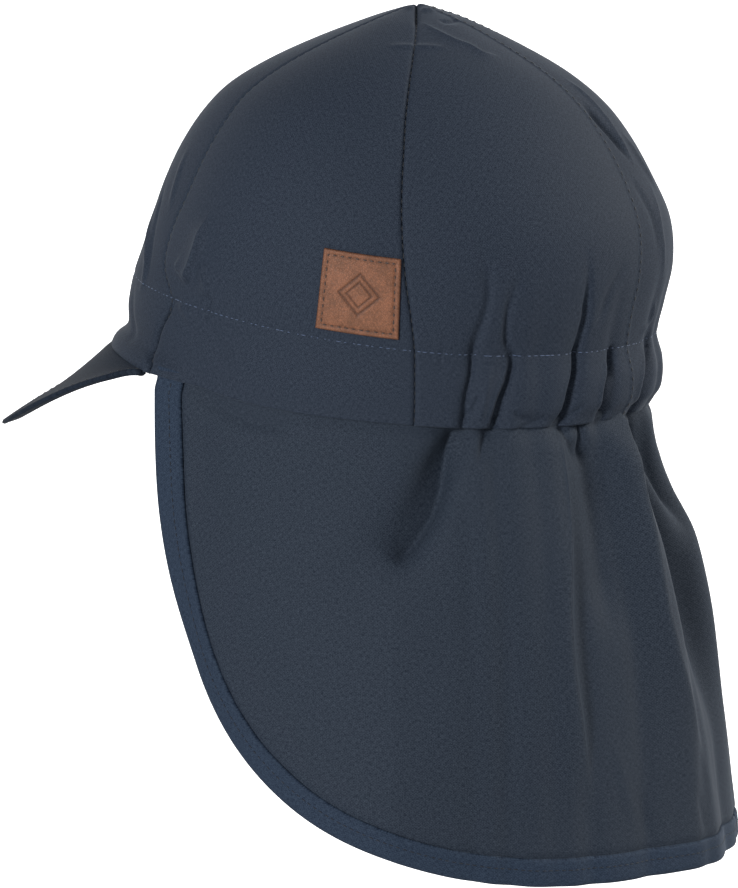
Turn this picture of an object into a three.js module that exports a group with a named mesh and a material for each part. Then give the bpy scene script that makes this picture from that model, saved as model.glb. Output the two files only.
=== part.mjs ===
// A child's sun cap with a short peak in front and a long neck flap behind, held open as a head holds it.
// Units are millimetres, +Z is up, the peak points along -Y and the wearer's left side along +X.
// The origin is the centre of the head ring, at the height of the stitch line that tops the band.
import * as THREE from 'three';

const { degToRad, lerp, smoothstep, clamp } = THREE.MathUtils;

// Head ring and crown
const RING_FRONT = 89; // ring's centre to the brow
const RING_BACK = 82; // ring's centre to the back of the head
const RING_SIDE = 72; // ring's centre to the temple
const CROWN_HEIGHT = 102; // origin to the apex
const APEX_SHIFT = 3; // how far the apex lies behind the ring's centre
const APEX_OPENING = 1.6; // radius left free where the six panel points meet
const BAND_HEIGHT = 23; // stitch line to rim
const TEMPLE_DROP = 2.5; // how much deeper the band is over the temples
const STITCH_FRONT = 14; // heights of the stitch line above the origin
const STITCH_SIDE = -0.5;
const STITCH_BACK = -4.5;
const BROW_FLARE = 7.5; // how far the rim stands forward over the peak
const CLOTH = 1.2; // wall of a crown panel, its turned seam allowance counted in
const SEAM_GAP = 0.3; // clearance between neighbouring pieces
const PANEL_PUFF = 1.6; // how far a panel swells between its seams
const SEAM_DEPTH = 0.7; // how far a seam sinks below its panels
const SEAM_PUFF = 0.1; // share of the swell from where the seams are sunk in full
const GATHER_DEPTH = 2.6; // depth of the deepest crease over the elastic

// Peak
const PEAK_LENGTH = 36; // rim to the tip, measured level
const PEAK_HALF_WIDTH = 42;
const PEAK_TAPER = 1.05; // 1 makes its outline an ellipse, more a slimmer one
const PEAK_DROOP = 26.5; // how far the tip lies below the rim
const PEAK_ARCH = 3; // how far its sides lie below its middle
const PEAK_TWIST = 4.3; // degrees that its free edge is turned, the left side up
const PEAK_THICKNESS = 2.5;
const PEAK_SAG = 0.3; // how far it sags between rim and free edge, as a share of its droop
const PEAK_CURL = 1.45; // 1 lowers its edge evenly with its reach, more keeps its corners up
const PEAK_CORNER = 0.82; // share of its half-width from where its edge closes in on the rim
const PEAK_SHARE = 0.985; // share of the rim between the front seams that it takes up
const PEAK_EDGE = 0.6; // thickness left at its free edge, as a share
const PEAK_BEVEL = 0.8; // share of its length from where it thins to that
const PEAK_ROOT = 0.2; // share of its length over which its root turns square to the rim

// Neck flap and its hem
const FLAP_LENGTH = 151.5; // rim to the hem's outer edge, along the cloth
const FLAP_WALL = 1.2;
const FLARE_SIDE = 18; // how far the cloth stands out at the hem
const FLARE_BACK = 28;
const FOLD_DEPTH = 6; // depth of the deepest fold
const FRONT_CLING = 0.9; // how far the flap's front hangs straight down, as a share of the side flare
const BACK_RISE = 5; // how much shorter the flap is at the middle of the back
const BACK_SWEEP = 2.5; // how near the middle of the back that rise keeps to
const FOLD_RISE = 0.2; // share of the drop over which a fold deepens from its start
const FOLD_FADE = 0.35; // and over which it fades before its end
const FOLD_TOP_WIDTH = 0.7; // a fold's width at the rim and at the hem, as shares of its width at mid-height
const FOLD_FOOT_WIDTH = 1.3;
const RIM_HOLD = 0.1; // share of the drop over which the rim still holds the folds flat
const HEM_WIDTH = 7.4;
const HEM_THICKNESS = 2;
const EDGE_BELLY = 2.56; // roundness of the flap's free edge towards the front
const EDGE_FOOT = 3.3; // and towards the foot

// Leather patch
const PATCH_SIDE = 25;
const PATCH_THICKNESS = 1;
const PATCH_RISE = 16; // stitch line to the patch's centre
const PATCH_SETBACK = 4; // side seam to the patch's near edge

// Angles run from the brow (0) over the wearer's left (90) to the back of the head (180).
const FRONT_SEAM = 30;
const SIDE_SEAM = 93;
const BACK_SEAM = 150;
const SEAMS = [
  { at: FRONT_SEAM, sway: 'frontSway' },
  { at: SIDE_SEAM, sway: 'sideSway' },
  { at: BACK_SEAM, sway: 'backSway' },
];
const TEMPLE = 56;
const TEMPLE_SPREAD = 28; // half-width of the deeper stretch of band
const BROW_FULL = 28; // the brow flare is whole up to here
const BROW_END = 46; // and gone here
const FLAP_START = 33.5; // the flap's front corner
const FLAP_CORNER = 0.012; // share of the flap's turn cut off where its cloth runs out at that corner

// Rows of the crown from the rim up. rise: below zero a share of BAND_HEIGHT, above it a share of the way to the
// apex. front, side, back: shares of the ring's lengths. brow, gather, puff: shares of BROW_FLARE, GATHER_DEPTH
// and PANEL_PUFF. frontSway, sideSway, backSway: degrees by which each pair of seams strays towards the back.
const CROWN_ROWS = [
  {
    rise: -1.0, front: 1.0, side: 1.0, back: 0.968, brow: 1.0, gather: 0.8, puff: 0.0,
    frontSway: 1, sideSway: 1, backSway: 2,
  },
  {
    rise: -0.88, front: 1.0, side: 1.003, back: 0.995, brow: 0.86, gather: 1.0, puff: 0.1,
    frontSway: 1, sideSway: 1, backSway: 2,
  },
  {
    rise: -0.72, front: 1.0, side: 1.006, back: 1.02, brow: 0.32, gather: 1.0, puff: 0.15,
    frontSway: 1, sideSway: 1, backSway: 2,
  },
  {
    rise: -0.4, front: 1.0, side: 1.008, back: 1.025, brow: 0.28, gather: 0.9, puff: 0.15,
    frontSway: 1, sideSway: 1, backSway: 2,
  },
  {
    rise: 0.0, front: 1.0, side: 1.0, back: 1.0, brow: 0.03, gather: 0.75, puff: 0.2,
    frontSway: 0, sideSway: 1, backSway: 2,
  },
  {
    rise: 0.1, front: 0.965, side: 1.012, back: 1.015, brow: 0.0, gather: 0.45, puff: 0.5,
    frontSway: -3.5, sideSway: 0, backSway: 2,
  },
  {
    rise: 0.22, front: 0.925, side: 1.01, back: 1.035, brow: 0.0, gather: 0.15, puff: 0.75,
    frontSway: -5, sideSway: -1.5, backSway: 3,
  },
  {
    rise: 0.35, front: 0.879, side: 0.988, back: 1.01, brow: 0.0, gather: 0.0, puff: 0.95,
    frontSway: -4.5, sideSway: -2.5, backSway: 5,
  },
  {
    rise: 0.48, front: 0.822, side: 0.935, back: 0.93, brow: 0.0, gather: 0.0, puff: 1.0,
    frontSway: -4, sideSway: -3, backSway: 7,
  },
  {
    rise: 0.6, front: 0.748, side: 0.855, back: 0.838, brow: 0.0, gather: 0.0, puff: 1.0,
    frontSway: -4, sideSway: -3, backSway: 7,
  },
  {
    rise: 0.7, front: 0.658, side: 0.76, back: 0.735, brow: 0.0, gather: 0.0, puff: 0.9,
    frontSway: -5, sideSway: -3, backSway: 7,
  },
  {
    rise: 0.79, front: 0.53, side: 0.635, back: 0.595, brow: 0.0, gather: 0.0, puff: 0.75,
    frontSway: -6, sideSway: -2.5, backSway: 8,
  },
  {
    rise: 0.87, front: 0.378, side: 0.475, back: 0.427, brow: 0.0, gather: 0.0, puff: 0.5,
    frontSway: -6, sideSway: -1.5, backSway: 8,
  },
  {
    rise: 0.94, front: 0.2, side: 0.275, back: 0.235, brow: 0.0, gather: 0.0, puff: 0.25,
    frontSway: -5, sideSway: 0, backSway: 7,
  },
  {
    rise: 1.0, front: 0.0, side: 0.0, back: 0.0, brow: 0.0, gather: 0.0, puff: 0.0,
    frontSway: -4, sideSway: 0, backSway: 6,
  },
];

// Creases over the elastic at the back of the band. at: angle, lean: degrees that it drifts backwards from the rim
// to the stitch line, width: half-width in degrees, depth: share of GATHER_DEPTH.
const GATHERS = [
  { at: 105.5, lean: 1.5, width: 2.4, depth: 0.6 },
  { at: 112.5, lean: 3.5, width: 2.6, depth: 1.0 },
  { at: 122, lean: 1.0, width: 2.6, depth: 0.45 },
  { at: 129.5, lean: 4.0, width: 2.6, depth: 1.0 },
  { at: 142.5, lean: 3.0, width: 2.4, depth: 0.9 },
  { at: 157, lean: 7.0, width: 2.4, depth: 1.0 },
  { at: 169, lean: 3.0, width: 2.6, depth: 0.7 },
  { at: 180, lean: 1.0, width: 2.8, depth: 0.9 },
  { at: 191, lean: -2.5, width: 2.6, depth: 0.8 },
  { at: 203, lean: -5.0, width: 2.4, depth: 1.0 },
  { at: 216, lean: -2.5, width: 2.6, depth: 0.9 },
  { at: 229, lean: -3.0, width: 2.6, depth: 0.8 },
  { at: 241, lean: -2.0, width: 2.6, depth: 1.0 },
  { at: 253, lean: -1.0, width: 2.4, depth: 0.6 },
];

// Rows of the flap from the rim down. drop: share of FLAP_LENGTH, side and back: shares of the two flares.
const FLAP_ROWS = [
  { drop: 0.0, side: 0.0, back: 0.0 },
  { drop: 0.12, side: 0.13, back: 0.14 },
  { drop: 0.28, side: 0.36, back: 0.44 },
  { drop: 0.46, side: 0.6, back: 0.66 },
  { drop: 0.66, side: 0.8, back: 0.83 },
  { drop: 0.85, side: 0.93, back: 0.94 },
  { drop: 1.0, side: 1.0, back: 1.0 },
];

// Folds of the flap. top and foot: angles at the rim and at the hem, start and end: shares of the drop between which
// the fold shows, width: half-width in degrees at mid-height, depth: share of FOLD_DEPTH, below zero for a hollow.
const FOLDS = [
  { top: 44, foot: 60, start: 0.0, end: 0.45, width: 10, depth: -0.3 },
  { top: 106, foot: 38, start: -0.15, end: 0.62, width: 8, depth: -1.0 },
  { top: 122, foot: 78, start: 0.0, end: 1.1, width: 11, depth: 0.45 },
  { top: 133, foot: 118, start: -0.1, end: 0.5, width: 5, depth: -0.4 },
  { top: 148, foot: 158, start: -0.2, end: 1.4, width: 7, depth: 0.85 },
  { top: 158, foot: 176, start: -0.3, end: 0.75, width: 6, depth: -1.0 },
  { top: 170, foot: 184, start: 0.1, end: 1.4, width: 9, depth: 0.5 },
  { top: 191, foot: 198, start: -0.1, end: 0.9, width: 7, depth: -0.8 },
  { top: 207, foot: 208, start: -0.1, end: 1.4, width: 8, depth: 0.8 },
  { top: 222, foot: 232, start: -0.1, end: 0.8, width: 7, depth: -0.7 },
  { top: 240, foot: 268, start: 0.0, end: 1.2, width: 10, depth: 0.5 },
  { top: 254, foot: 312, start: -0.15, end: 0.65, width: 8, depth: -0.9 },
  { top: 314, foot: 300, start: 0.0, end: 0.45, width: 10, depth: -0.3 },
];

const STEP = 0.05; // step of the numeric slopes, in degrees, millimetres or shares of a row
const HALVINGS = 30; // steps of a search by halving

const COLOURS = {
  cloth: 0x33394a,
  peak: 0x3a4252,
  flap: 0x343a46,
  hem: 0x3a4356,
  leather: 0x966d59,
};
const CLOTH_ROUGHNESS = 0.85;
const LEATHER_ROUGHNESS = 0.6;

// Smooth value through evenly numbered knots.
function spline(knots, position) {
  const last = knots.length - 1;
  const place = clamp(position, 0, last);
  const index = Math.min(Math.floor(place), last - 1);
  const t = place - index;
  const p1 = knots[index];
  const p2 = knots[index + 1];
  const p0 = index > 0 ? knots[index - 1] : 2 * p1 - p2;
  const p3 = index + 2 <= last ? knots[index + 2] : 2 * p2 - p1;
  const bend = 2 * p0 - 5 * p1 + 4 * p2 - p3;
  const twist = 3 * p1 - p0 - 3 * p2 + p3;
  return p1 + 0.5 * t * (p2 - p0 + t * (bend + t * twist));
}

// Value of a table column at a place given in another, rising column.
function tableValue(rows, along, column, value) {
  const next = rows.findIndex((row, index) => index > 0 && value <= row[along]);
  const index = next < 0 ? rows.length - 1 : next;
  const span = rows[index][along] - rows[index - 1][along];
  const place = index - 1 + (value - rows[index - 1][along]) / span;
  return spline(rows.map((row) => row[column]), place);
}

// A rounded bump, one in its middle.
function bump(distance, halfWidth) {
  return Math.exp(-((distance / halfWidth) ** 2));
}

// The angle turned to lie between -180 and 180.
function fromBrow(angle) {
  return ((((angle + 180) % 360) + 360) % 360) - 180;
}

// Height of the band's stitch line.
function stitchHeight(angle) {
  const turn = degToRad(angle);
  const ends = (STITCH_FRONT + STITCH_BACK) / 2;
  const level = (ends + STITCH_SIDE) / 2;
  const tilt = (STITCH_FRONT - STITCH_BACK) / 2;
  return level + tilt * Math.cos(turn) + (ends - level) * Math.cos(2 * turn);
}

// How much of the brow flare shows.
function browShare(angle) {
  return 1 - smoothstep(Math.abs(fromBrow(angle)), BROW_FULL, BROW_END);
}

// Level direction out of the ring.
function outward(angle) {
  const turn = degToRad(angle);
  const length = Math.cos(turn) > 0 ? RING_FRONT : RING_BACK;
  return new THREE.Vector3(Math.sin(turn) * length, -Math.cos(turn) * RING_SIDE, 0).normalize();
}

// A point of the bare crown on one row of the table.
function rowPoint(row, angle) {
  const turn = degToRad(angle);
  const stitch = stitchHeight(angle);
  const band = BAND_HEIGHT + TEMPLE_DROP * bump(Math.abs(fromBrow(angle)) - TEMPLE, TEMPLE_SPREAD);
  const height = stitch + row.rise * (row.rise < 0 ? band : CROWN_HEIGHT - stitch);
  const length = Math.cos(turn) > 0 ? row.front * RING_FRONT : row.back * RING_BACK;
  const shift = Math.max(row.rise, 0) * APEX_SHIFT;
  const point = new THREE.Vector3(row.side * RING_SIDE * Math.sin(turn), shift - length * Math.cos(turn), height);
  return point.addScaledVector(outward(angle), row.brow * BROW_FLARE * browShare(angle));
}

// Angle of one of the seven lines that bound the six panels, counted from the right front seam round the left side
// and the back to the right front seam again.
function seamAngle(line, level) {
  const place = [0, 0, 1, 2, 2, 1, 0][line];
  const angle = SEAMS[place].at + spline(CROWN_ROWS.map((row) => row[SEAMS[place].sway]), level);
  if (line === 0) return -angle;
  return line <= SEAMS.length ? angle : 360 - angle;
}

// Swell of the cloth between two seams, none at the seams.
function puffShare(angle, level) {
  const first = seamAngle(0, level);
  const place = first + ((((angle - first) % 360) + 360) % 360);
  let line = 1;
  while (line < 2 * SEAMS.length && place > seamAngle(line, level)) line += 1;
  const from = seamAngle(line - 1, level);
  return Math.sin((Math.PI * (place - from)) / (seamAngle(line, level) - from));
}

// Creases over the elastic.
function gatherShare(angle, rise) {
  const up = clamp(1 + rise, 0, 1);
  return GATHERS.reduce((sum, crease) => {
    const centre = crease.at + crease.lean * up;
    return sum + crease.depth * bump(angle - centre, crease.width);
  }, 0);
}

// A point of the crown's outer face. level counts rows of CROWN_ROWS from the rim.
function crownPoint(angle, level) {
  const columns = ['rise', 'gather', 'puff'];
  const [rise, gather, puff] = columns.map((name) => spline(CROWN_ROWS.map((row) => row[name]), level));
  const knots = CROWN_ROWS.map((row) => rowPoint(row, angle));
  const point = new THREE.Vector3();
  ['x', 'y', 'z'].forEach((axis) => {
    point[axis] = spline(knots.map((knot) => knot[axis]), level);
  });
  const sunk = SEAM_DEPTH * clamp(puff / SEAM_PUFF, 0, 1);
  const swell = puff * (PANEL_PUFF + SEAM_DEPTH) * puffShare(angle, level) - sunk;
  const wrapped = ((angle % 360) + 360) % 360;
  const crease = gather * GATHER_DEPTH * gatherShare(wrapped, rise);
  return point.addScaledVector(outward(angle), swell - crease);
}

// Unit normal of a face, from its slopes along both of its numbers.
function normalOf(face, a, b) {
  const along = face(a + STEP, b).sub(face(a - STEP, b));
  const across = face(a, b + STEP).sub(face(a, b - STEP));
  return along.cross(across).normalize();
}

// A normal laid level, where a sheet's edge meets the sheet above or below it.
function levelled(normal) {
  return normal.setZ(0).normalize();
}

// A closed sheet between an outer and an inner grid of points. point(i, j, inner) gives each of them; i runs to the
// right and j upwards, seen from outside.
function closedSheet(columns, rows, point) {
  const positions = [];
  const indices = [];
  [false, true].forEach((inner) => {
    for (let j = 0; j <= rows; j += 1) {
      for (let i = 0; i <= columns; i += 1) positions.push(...point(i, j, inner).toArray());
    }
  });
  const layer = (columns + 1) * (rows + 1);
  const at = (i, j, inner) => (inner ? layer : 0) + j * (columns + 1) + i;
  const quad = (a, b, c, d) => indices.push(a, b, c, a, c, d);
  for (let j = 0; j < rows; j += 1) {
    for (let i = 0; i < columns; i += 1) {
      quad(at(i, j), at(i + 1, j), at(i + 1, j + 1), at(i, j + 1));
      quad(at(i, j, true), at(i, j + 1, true), at(i + 1, j + 1, true), at(i + 1, j, true));
    }
  }
  for (let i = 0; i < columns; i += 1) {
    quad(at(i, 0, true), at(i + 1, 0, true), at(i + 1, 0), at(i, 0));
    quad(at(i, rows), at(i + 1, rows), at(i + 1, rows, true), at(i, rows, true));
  }
  for (let j = 0; j < rows; j += 1) {
    quad(at(0, j), at(0, j + 1), at(0, j + 1, true), at(0, j, true));
    quad(at(columns, j, true), at(columns, j + 1, true), at(columns, j + 1), at(columns, j));
  }
  const geometry = new THREE.BufferGeometry();
  geometry.setAttribute('position', new THREE.Float32BufferAttribute(positions, 3));
  geometry.setIndex(indices);
  geometry.computeVertexNormals();
  return geometry;
}

// Highest level of the panels, where their points still leave the apex free.
function topLevel() {
  const last = CROWN_ROWS.length - 1;
  let low = last - 1;
  let high = last;
  for (let turn = 0; turn < HALVINGS; turn += 1) {
    const middle = (low + high) / 2;
    const point = crownPoint(0, middle);
    if (Math.hypot(point.x, point.y - APEX_SHIFT) > APEX_OPENING) low = middle;
    else high = middle;
  }
  return low;
}

// One panel of the crown, from seam to seam and from the rim to the apex.
function crownPanel(line, columns) {
  const rows = CROWN_ROWS.length - 1;
  const top = topLevel();
  return closedSheet(columns, rows, (i, j, inner) => {
    const level = j < rows ? j : top;
    const share = i / columns;
    const from = seamAngle(line, level);
    const to = seamAngle(line + 1, level);
    const middle = lerp(from, to, share);
    const reach = crownPoint(middle + 1, level).distanceTo(crownPoint(middle, level));
    const inset = SEAM_GAP / 2 / reach;
    const angle = lerp(from + inset, to - inset, share);
    const point = crownPoint(angle, level);
    const normal = normalOf(crownPoint, angle, level);
    if (j === 0) levelled(normal);
    return inner ? point.addScaledVector(normal, -CLOTH) : point;
  });
}

// The peak's outer face. across runs from -1 to 1 along the rim, out from 0 at the rim to 1 at its free edge.
function peakPoint(across, out) {
  const angle = across * FRONT_SEAM;
  const rim = crownPoint(angle, 0);
  const down = crownPoint(angle, 0).sub(crownPoint(angle, STEP)).normalize();
  const root = rim.addScaledVector(down, SEAM_GAP);
  const corner = crownPoint(FRONT_SEAM, 0);
  const turn = (Math.PI / 2) * across;
  const tipY = crownPoint(0, 0).y - PEAK_LENGTH;
  const width = Math.abs(Math.sin(turn)) ** PEAK_TAPER;
  const edgeX = Math.sign(across) * PEAK_HALF_WIDTH * width;
  const edgeY = lerp(corner.y, tipY, Math.max(Math.cos(turn), 0) ** PEAK_TAPER);
  const forward = clamp((root.y - edgeY) / PEAK_LENGTH, 0, 1);
  const shut = smoothstep(Math.abs(across), PEAK_CORNER, 1);
  const x = lerp(root.x, lerp(edgeX, root.x, shut), out);
  const y = lerp(root.y, edgeY, out);
  const dip = out + PEAK_SAG * out * (1 - out);
  const droop = PEAK_DROOP * forward ** PEAK_CURL * dip;
  const tilt = Math.tan(degToRad(PEAK_TWIST)) * x - PEAK_ARCH * (x / PEAK_HALF_WIDTH) ** 2;
  return new THREE.Vector3(x, y, root.z - droop + tilt * out);
}

function peakGeometry() {
  const columns = 24;
  const rows = 8;
  return closedSheet(columns, rows, (i, j, inner) => {
    const across = lerp(-1, 1, i / columns) * PEAK_SHARE;
    const out = 1 - j / rows;
    const point = peakPoint(across, out);
    if (!inner) return point;
    const root = normalOf(crownPoint, across * FRONT_SEAM, 0);
    const spread = normalOf(peakPoint, across, clamp(out, 2 * STEP, 1 - 2 * STEP)).negate();
    const normal = root.lerp(spread, smoothstep(out, 0, PEAK_ROOT)).normalize();
    const thin = lerp(1, PEAK_EDGE, smoothstep(out, PEAK_BEVEL, 1));
    return point.addScaledVector(normal, -PEAK_THICKNESS * thin);
  });
}

// Length of the rim from the flap's front corner to the middle of the back.
function rimLength() {
  const steps = 60;
  let length = 0;
  for (let step = 0; step < steps; step += 1) {
    const from = lerp(FLAP_START, 180, step / steps);
    const to = lerp(FLAP_START, 180, (step + 1) / steps);
    length += rowPoint(CROWN_ROWS[0], from).distanceTo(rowPoint(CROWN_ROWS[0], to));
  }
  return length;
}

const RIM_LENGTH = rimLength();

// The flap's outer face at a place of the flat cloth: along is the way from the middle of the back towards the
// wearer's left, drop the way down from the rim.
function flapPoint(along, drop) {
  const angle = 180 - (along / RIM_LENGTH) * (180 - FLAP_START);
  const share = Math.max(drop / FLAP_LENGTH, 0);
  const turn = degToRad(angle);
  const back = clamp(-Math.cos(turn), 0, 1) ** 2;
  const front = clamp(Math.cos(turn), 0, 1);
  const side = FLARE_SIDE * tableValue(FLAP_ROWS, 'drop', 'side', share) * (1 - FRONT_CLING * front);
  const flare = lerp(side, FLARE_BACK * tableValue(FLAP_ROWS, 'drop', 'back', share), back);
  const fall = Math.sqrt(Math.max(drop * drop - flare * flare, 0)) * Math.sign(drop);
  const folds = FOLDS.reduce((sum, fold) => {
    const centre = lerp(fold.top, fold.foot, share);
    const grown = smoothstep(share, fold.start, fold.start + FOLD_RISE);
    const left = 1 - smoothstep(share, fold.end - FOLD_FADE, fold.end);
    const width = fold.width * lerp(FOLD_TOP_WIDTH, FOLD_FOOT_WIDTH, share);
    return sum + fold.depth * grown * left * bump(angle - centre, width);
  }, 0);
  const point = crownPoint(angle, 0);
  point.z -= SEAM_GAP + fall;
  const loose = smoothstep(share, 0, RIM_HOLD);
  return point.addScaledVector(outward(angle), flare + FOLD_DEPTH * folds * loose);
}

// The free edge of the flat cloth, from the front corner (0) to the middle of the back (1), moved in by some width.
function freeEdge(share, moved) {
  const place = (angle) => {
    const reach = Math.cos(angle) ** (2 / EDGE_FOOT);
    const drop = FLAP_LENGTH * Math.sin(angle) ** (2 / EDGE_BELLY) - BACK_RISE * (1 - reach) ** BACK_SWEEP;
    return new THREE.Vector2(RIM_LENGTH * reach, drop);
  };
  const samples = 240;
  const points = Array.from({ length: samples + 1 }, (_, index) => place((Math.PI / 2) * (index / samples)));
  const lengths = points.map((point, index) => (index ? point.distanceTo(points[index - 1]) : 0));
  const total = lengths.reduce((sum, length) => sum + length, 0);
  let left = share * total;
  let index = 1;
  while (index < samples && left > lengths[index]) {
    left -= lengths[index];
    index += 1;
  }
  const along = points[index].clone().sub(points[index - 1]);
  const point = points[index - 1].clone().addScaledVector(along, left / lengths[index]);
  const edge = along.normalize();
  return point.add(new THREE.Vector2(-edge.y, edge.x).multiplyScalar(moved));
}

// A place of the flat cloth inside the hem. turn runs from the front left corner (0) over the back (1) to the front
// right corner (2), up from the hem (0) to the rim (1).
function flapFlat(turn, up) {
  const half = turn <= 1 ? turn : 2 - turn;
  const foot = freeEdge(half, HEM_WIDTH + SEAM_GAP);
  const head = (RIM_LENGTH - HEM_WIDTH - SEAM_GAP) * (1 - half);
  const along = lerp(foot.x, head, up) * (turn <= 1 ? 1 : -1);
  return [along, lerp(foot.y, 0, up)];
}

function flapGeometry() {
  const columns = 64;
  const rows = 11;
  return closedSheet(columns, rows, (i, j, inner) => {
    const turn = lerp(FLAP_CORNER, 2 - FLAP_CORNER, i / columns);
    const [along, drop] = flapFlat(turn, j / rows);
    const point = flapPoint(along, drop);
    const normal = normalOf(flapPoint, along, drop);
    if (j === rows) levelled(normal);
    return inner ? point.addScaledVector(normal, -FLAP_WALL) : point;
  });
}

// The strip folded round the flap's free edge, thicker than the cloth and standing proud of it on both faces.
function hemGeometry() {
  const columns = 64;
  const rows = 2;
  const proud = (HEM_THICKNESS - FLAP_WALL) / 2;
  return closedSheet(columns, rows, (i, j, inner) => {
    const turn = (2 * i) / columns;
    const flat = freeEdge(turn <= 1 ? turn : 2 - turn, (HEM_WIDTH * j) / rows);
    const along = turn <= 1 ? flat.x : -flat.x;
    const rounded = j === 0 ? proud : 0;
    const lift = inner ? rounded - FLAP_WALL - proud : proud - rounded;
    const normal = normalOf(flapPoint, along, flat.y);
    if (i === 0 || i === columns) levelled(normal);
    return flapPoint(along, flat.y).addScaledVector(normal, lift);
  });
}

// Level of the crown that lies at some height over the stitch line.
function levelAt(angle, height) {
  let low = CROWN_ROWS.findIndex((row) => row.rise === 0);
  let high = CROWN_ROWS.length - 1;
  for (let turn = 0; turn < HALVINGS; turn += 1) {
    const middle = (low + high) / 2;
    if (crownPoint(angle, middle).z - stitchHeight(angle) < height) low = middle;
    else high = middle;
  }
  return low;
}

// The square patch, lying on the left front panel just before the side seam.
function patchGeometry() {
  const cells = 8;
  const level = levelAt(SIDE_SEAM, PATCH_RISE);
  const degree = crownPoint(SIDE_SEAM, level).distanceTo(crownPoint(SIDE_SEAM - 1, level));
  return closedSheet(cells, cells, (i, j, inner) => {
    const before = PATCH_SETBACK + PATCH_SIDE * (1 - i / cells);
    const angle = SIDE_SEAM - before / degree;
    const here = levelAt(angle, PATCH_RISE + PATCH_SIDE * (j / cells - 0.5));
    const lift = SEAM_GAP + (inner ? 0 : PATCH_THICKNESS);
    return crownPoint(angle, here).addScaledVector(normalOf(crownPoint, angle, here), lift);
  });
}

function piece(name, geometry, colour, roughness) {
  const material = new THREE.MeshStandardMaterial({ color: colour, roughness, metalness: 0 });
  const mesh = new THREE.Mesh(geometry, material);
  mesh.name = name;
  return mesh;
}

const cap = new THREE.Group();
const PANELS = [
  { name: 'front_panel', columns: 8 },
  { name: 'left_front_panel', columns: 10 },
  { name: 'left_back_panel', columns: 22 },
  { name: 'back_panel', columns: 24 },
  { name: 'right_back_panel', columns: 22 },
  { name: 'right_front_panel', columns: 10 },
];
PANELS.forEach(({ name, columns }, line) => {
  cap.add(piece(name, crownPanel(line, columns), COLOURS.cloth, CLOTH_ROUGHNESS));
});
cap.add(piece('peak', peakGeometry(), COLOURS.peak, CLOTH_ROUGHNESS));
cap.add(piece('neck_flap', flapGeometry(), COLOURS.flap, CLOTH_ROUGHNESS));
cap.add(piece('flap_hem', hemGeometry(), COLOURS.hem, CLOTH_ROUGHNESS));
cap.add(piece('leather_patch', patchGeometry(), COLOURS.leather, LEATHER_ROUGHNESS));

export default cap;
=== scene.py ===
"""A child's sun cap with a neck flap, dressed in cloth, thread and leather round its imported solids.

Lengths are millimetres until a mesh is made, +Z is up, the peak points along -Y and the wearer's left side
along +X. Angles round the head are degrees: 0 is the brow, 90 the wearer's left and 180 the back.
"""

import logging
import math
from dataclasses import dataclass
from enum import Enum
from typing import Callable, NamedTuple, Sequence

import bpy
import numpy as np
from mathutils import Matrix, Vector


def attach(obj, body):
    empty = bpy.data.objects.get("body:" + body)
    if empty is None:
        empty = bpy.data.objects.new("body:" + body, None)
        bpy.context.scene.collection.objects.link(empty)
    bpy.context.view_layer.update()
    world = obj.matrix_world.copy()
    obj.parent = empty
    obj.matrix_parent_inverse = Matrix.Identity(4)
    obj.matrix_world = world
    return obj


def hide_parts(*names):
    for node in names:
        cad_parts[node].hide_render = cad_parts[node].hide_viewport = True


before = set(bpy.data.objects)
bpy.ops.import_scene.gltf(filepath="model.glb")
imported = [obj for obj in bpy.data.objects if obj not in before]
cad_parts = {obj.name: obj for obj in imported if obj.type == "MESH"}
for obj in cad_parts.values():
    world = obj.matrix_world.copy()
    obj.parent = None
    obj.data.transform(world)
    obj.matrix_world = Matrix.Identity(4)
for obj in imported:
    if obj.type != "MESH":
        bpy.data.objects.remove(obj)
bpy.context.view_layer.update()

Array = np.ndarray
Place = Callable[[Array, Array], Array]
MM = 0.001
TINY = 1e-6
SHORTEST = 1e-12
SEED = 7
CRISP_REACH = 5.0
SOFT_REACH = 3.0
STITCH_END = 0.35
DISPLAY_STEPS = 255
ROOT = "root"
CLOTH_PLACE = "cloth_place"
PRESS = "press"
SEAM_PAIRS = (0, 0, 1, 2, 2, 1, 0)
LOG = logging.getLogger("cap")


def smoothstep(value: Array, low: float, high: float) -> Array:
    """Rises smoothly from 0 at low to 1 at high."""
    share = np.clip((np.asarray(value, float) - low) / (high - low), 0.0, 1.0)
    return share * share * (3.0 - 2.0 * share)


def bump(distance: Array, half_width: Array) -> Array:
    """A rounded bump, one in its middle."""
    return np.exp(-((distance / half_width) ** 2))


def mixed(low: Array, high: Array, share: Array) -> Array:
    """The value at a share of the way from low to high."""
    return low + (high - low) * share


def between(p0: Array, p1: Array, p2: Array, p3: Array, t: Array) -> Array:
    """The smooth curve from p1 to p2, given the knots before and after them.

    Args:
        p0, p1, p2, p3: four knots in a row.
        t: share of the way from p1 to p2.

    Returns:
        The values on the curve.
    """
    bend = 2 * p0 - 5 * p1 + 4 * p2 - p3
    twist = 3 * p1 - p0 - 3 * p2 + p3
    return p1 + 0.5 * t * (p2 - p0 + t * (bend + t * twist))


def spline(knots: Array, place: Array) -> Array:
    """Smooth values through evenly numbered knots.

    Args:
        knots: one value or one row of values for each knot.
        place: where to read the curve, counted in knots.

    Returns:
        One value or row for each place.
    """
    last = len(knots) - 1
    spot = np.clip(place, 0, last)
    index = np.minimum(spot.astype(int), last - 1)
    t = spot - index
    flag_low = index > 0
    flag_high = index + 2 <= last
    if knots.ndim > 1:
        t = t[..., None]
        flag_low = flag_low[..., None]
        flag_high = flag_high[..., None]
    p1 = knots[index]
    p2 = knots[index + 1]
    p0 = np.where(flag_low, knots[np.maximum(index - 1, 0)], 2 * p1 - p2)
    p3 = np.where(flag_high, knots[np.minimum(index + 2, last)], 2 * p2 - p1)
    return between(p0, p1, p2, p3, t)


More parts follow.
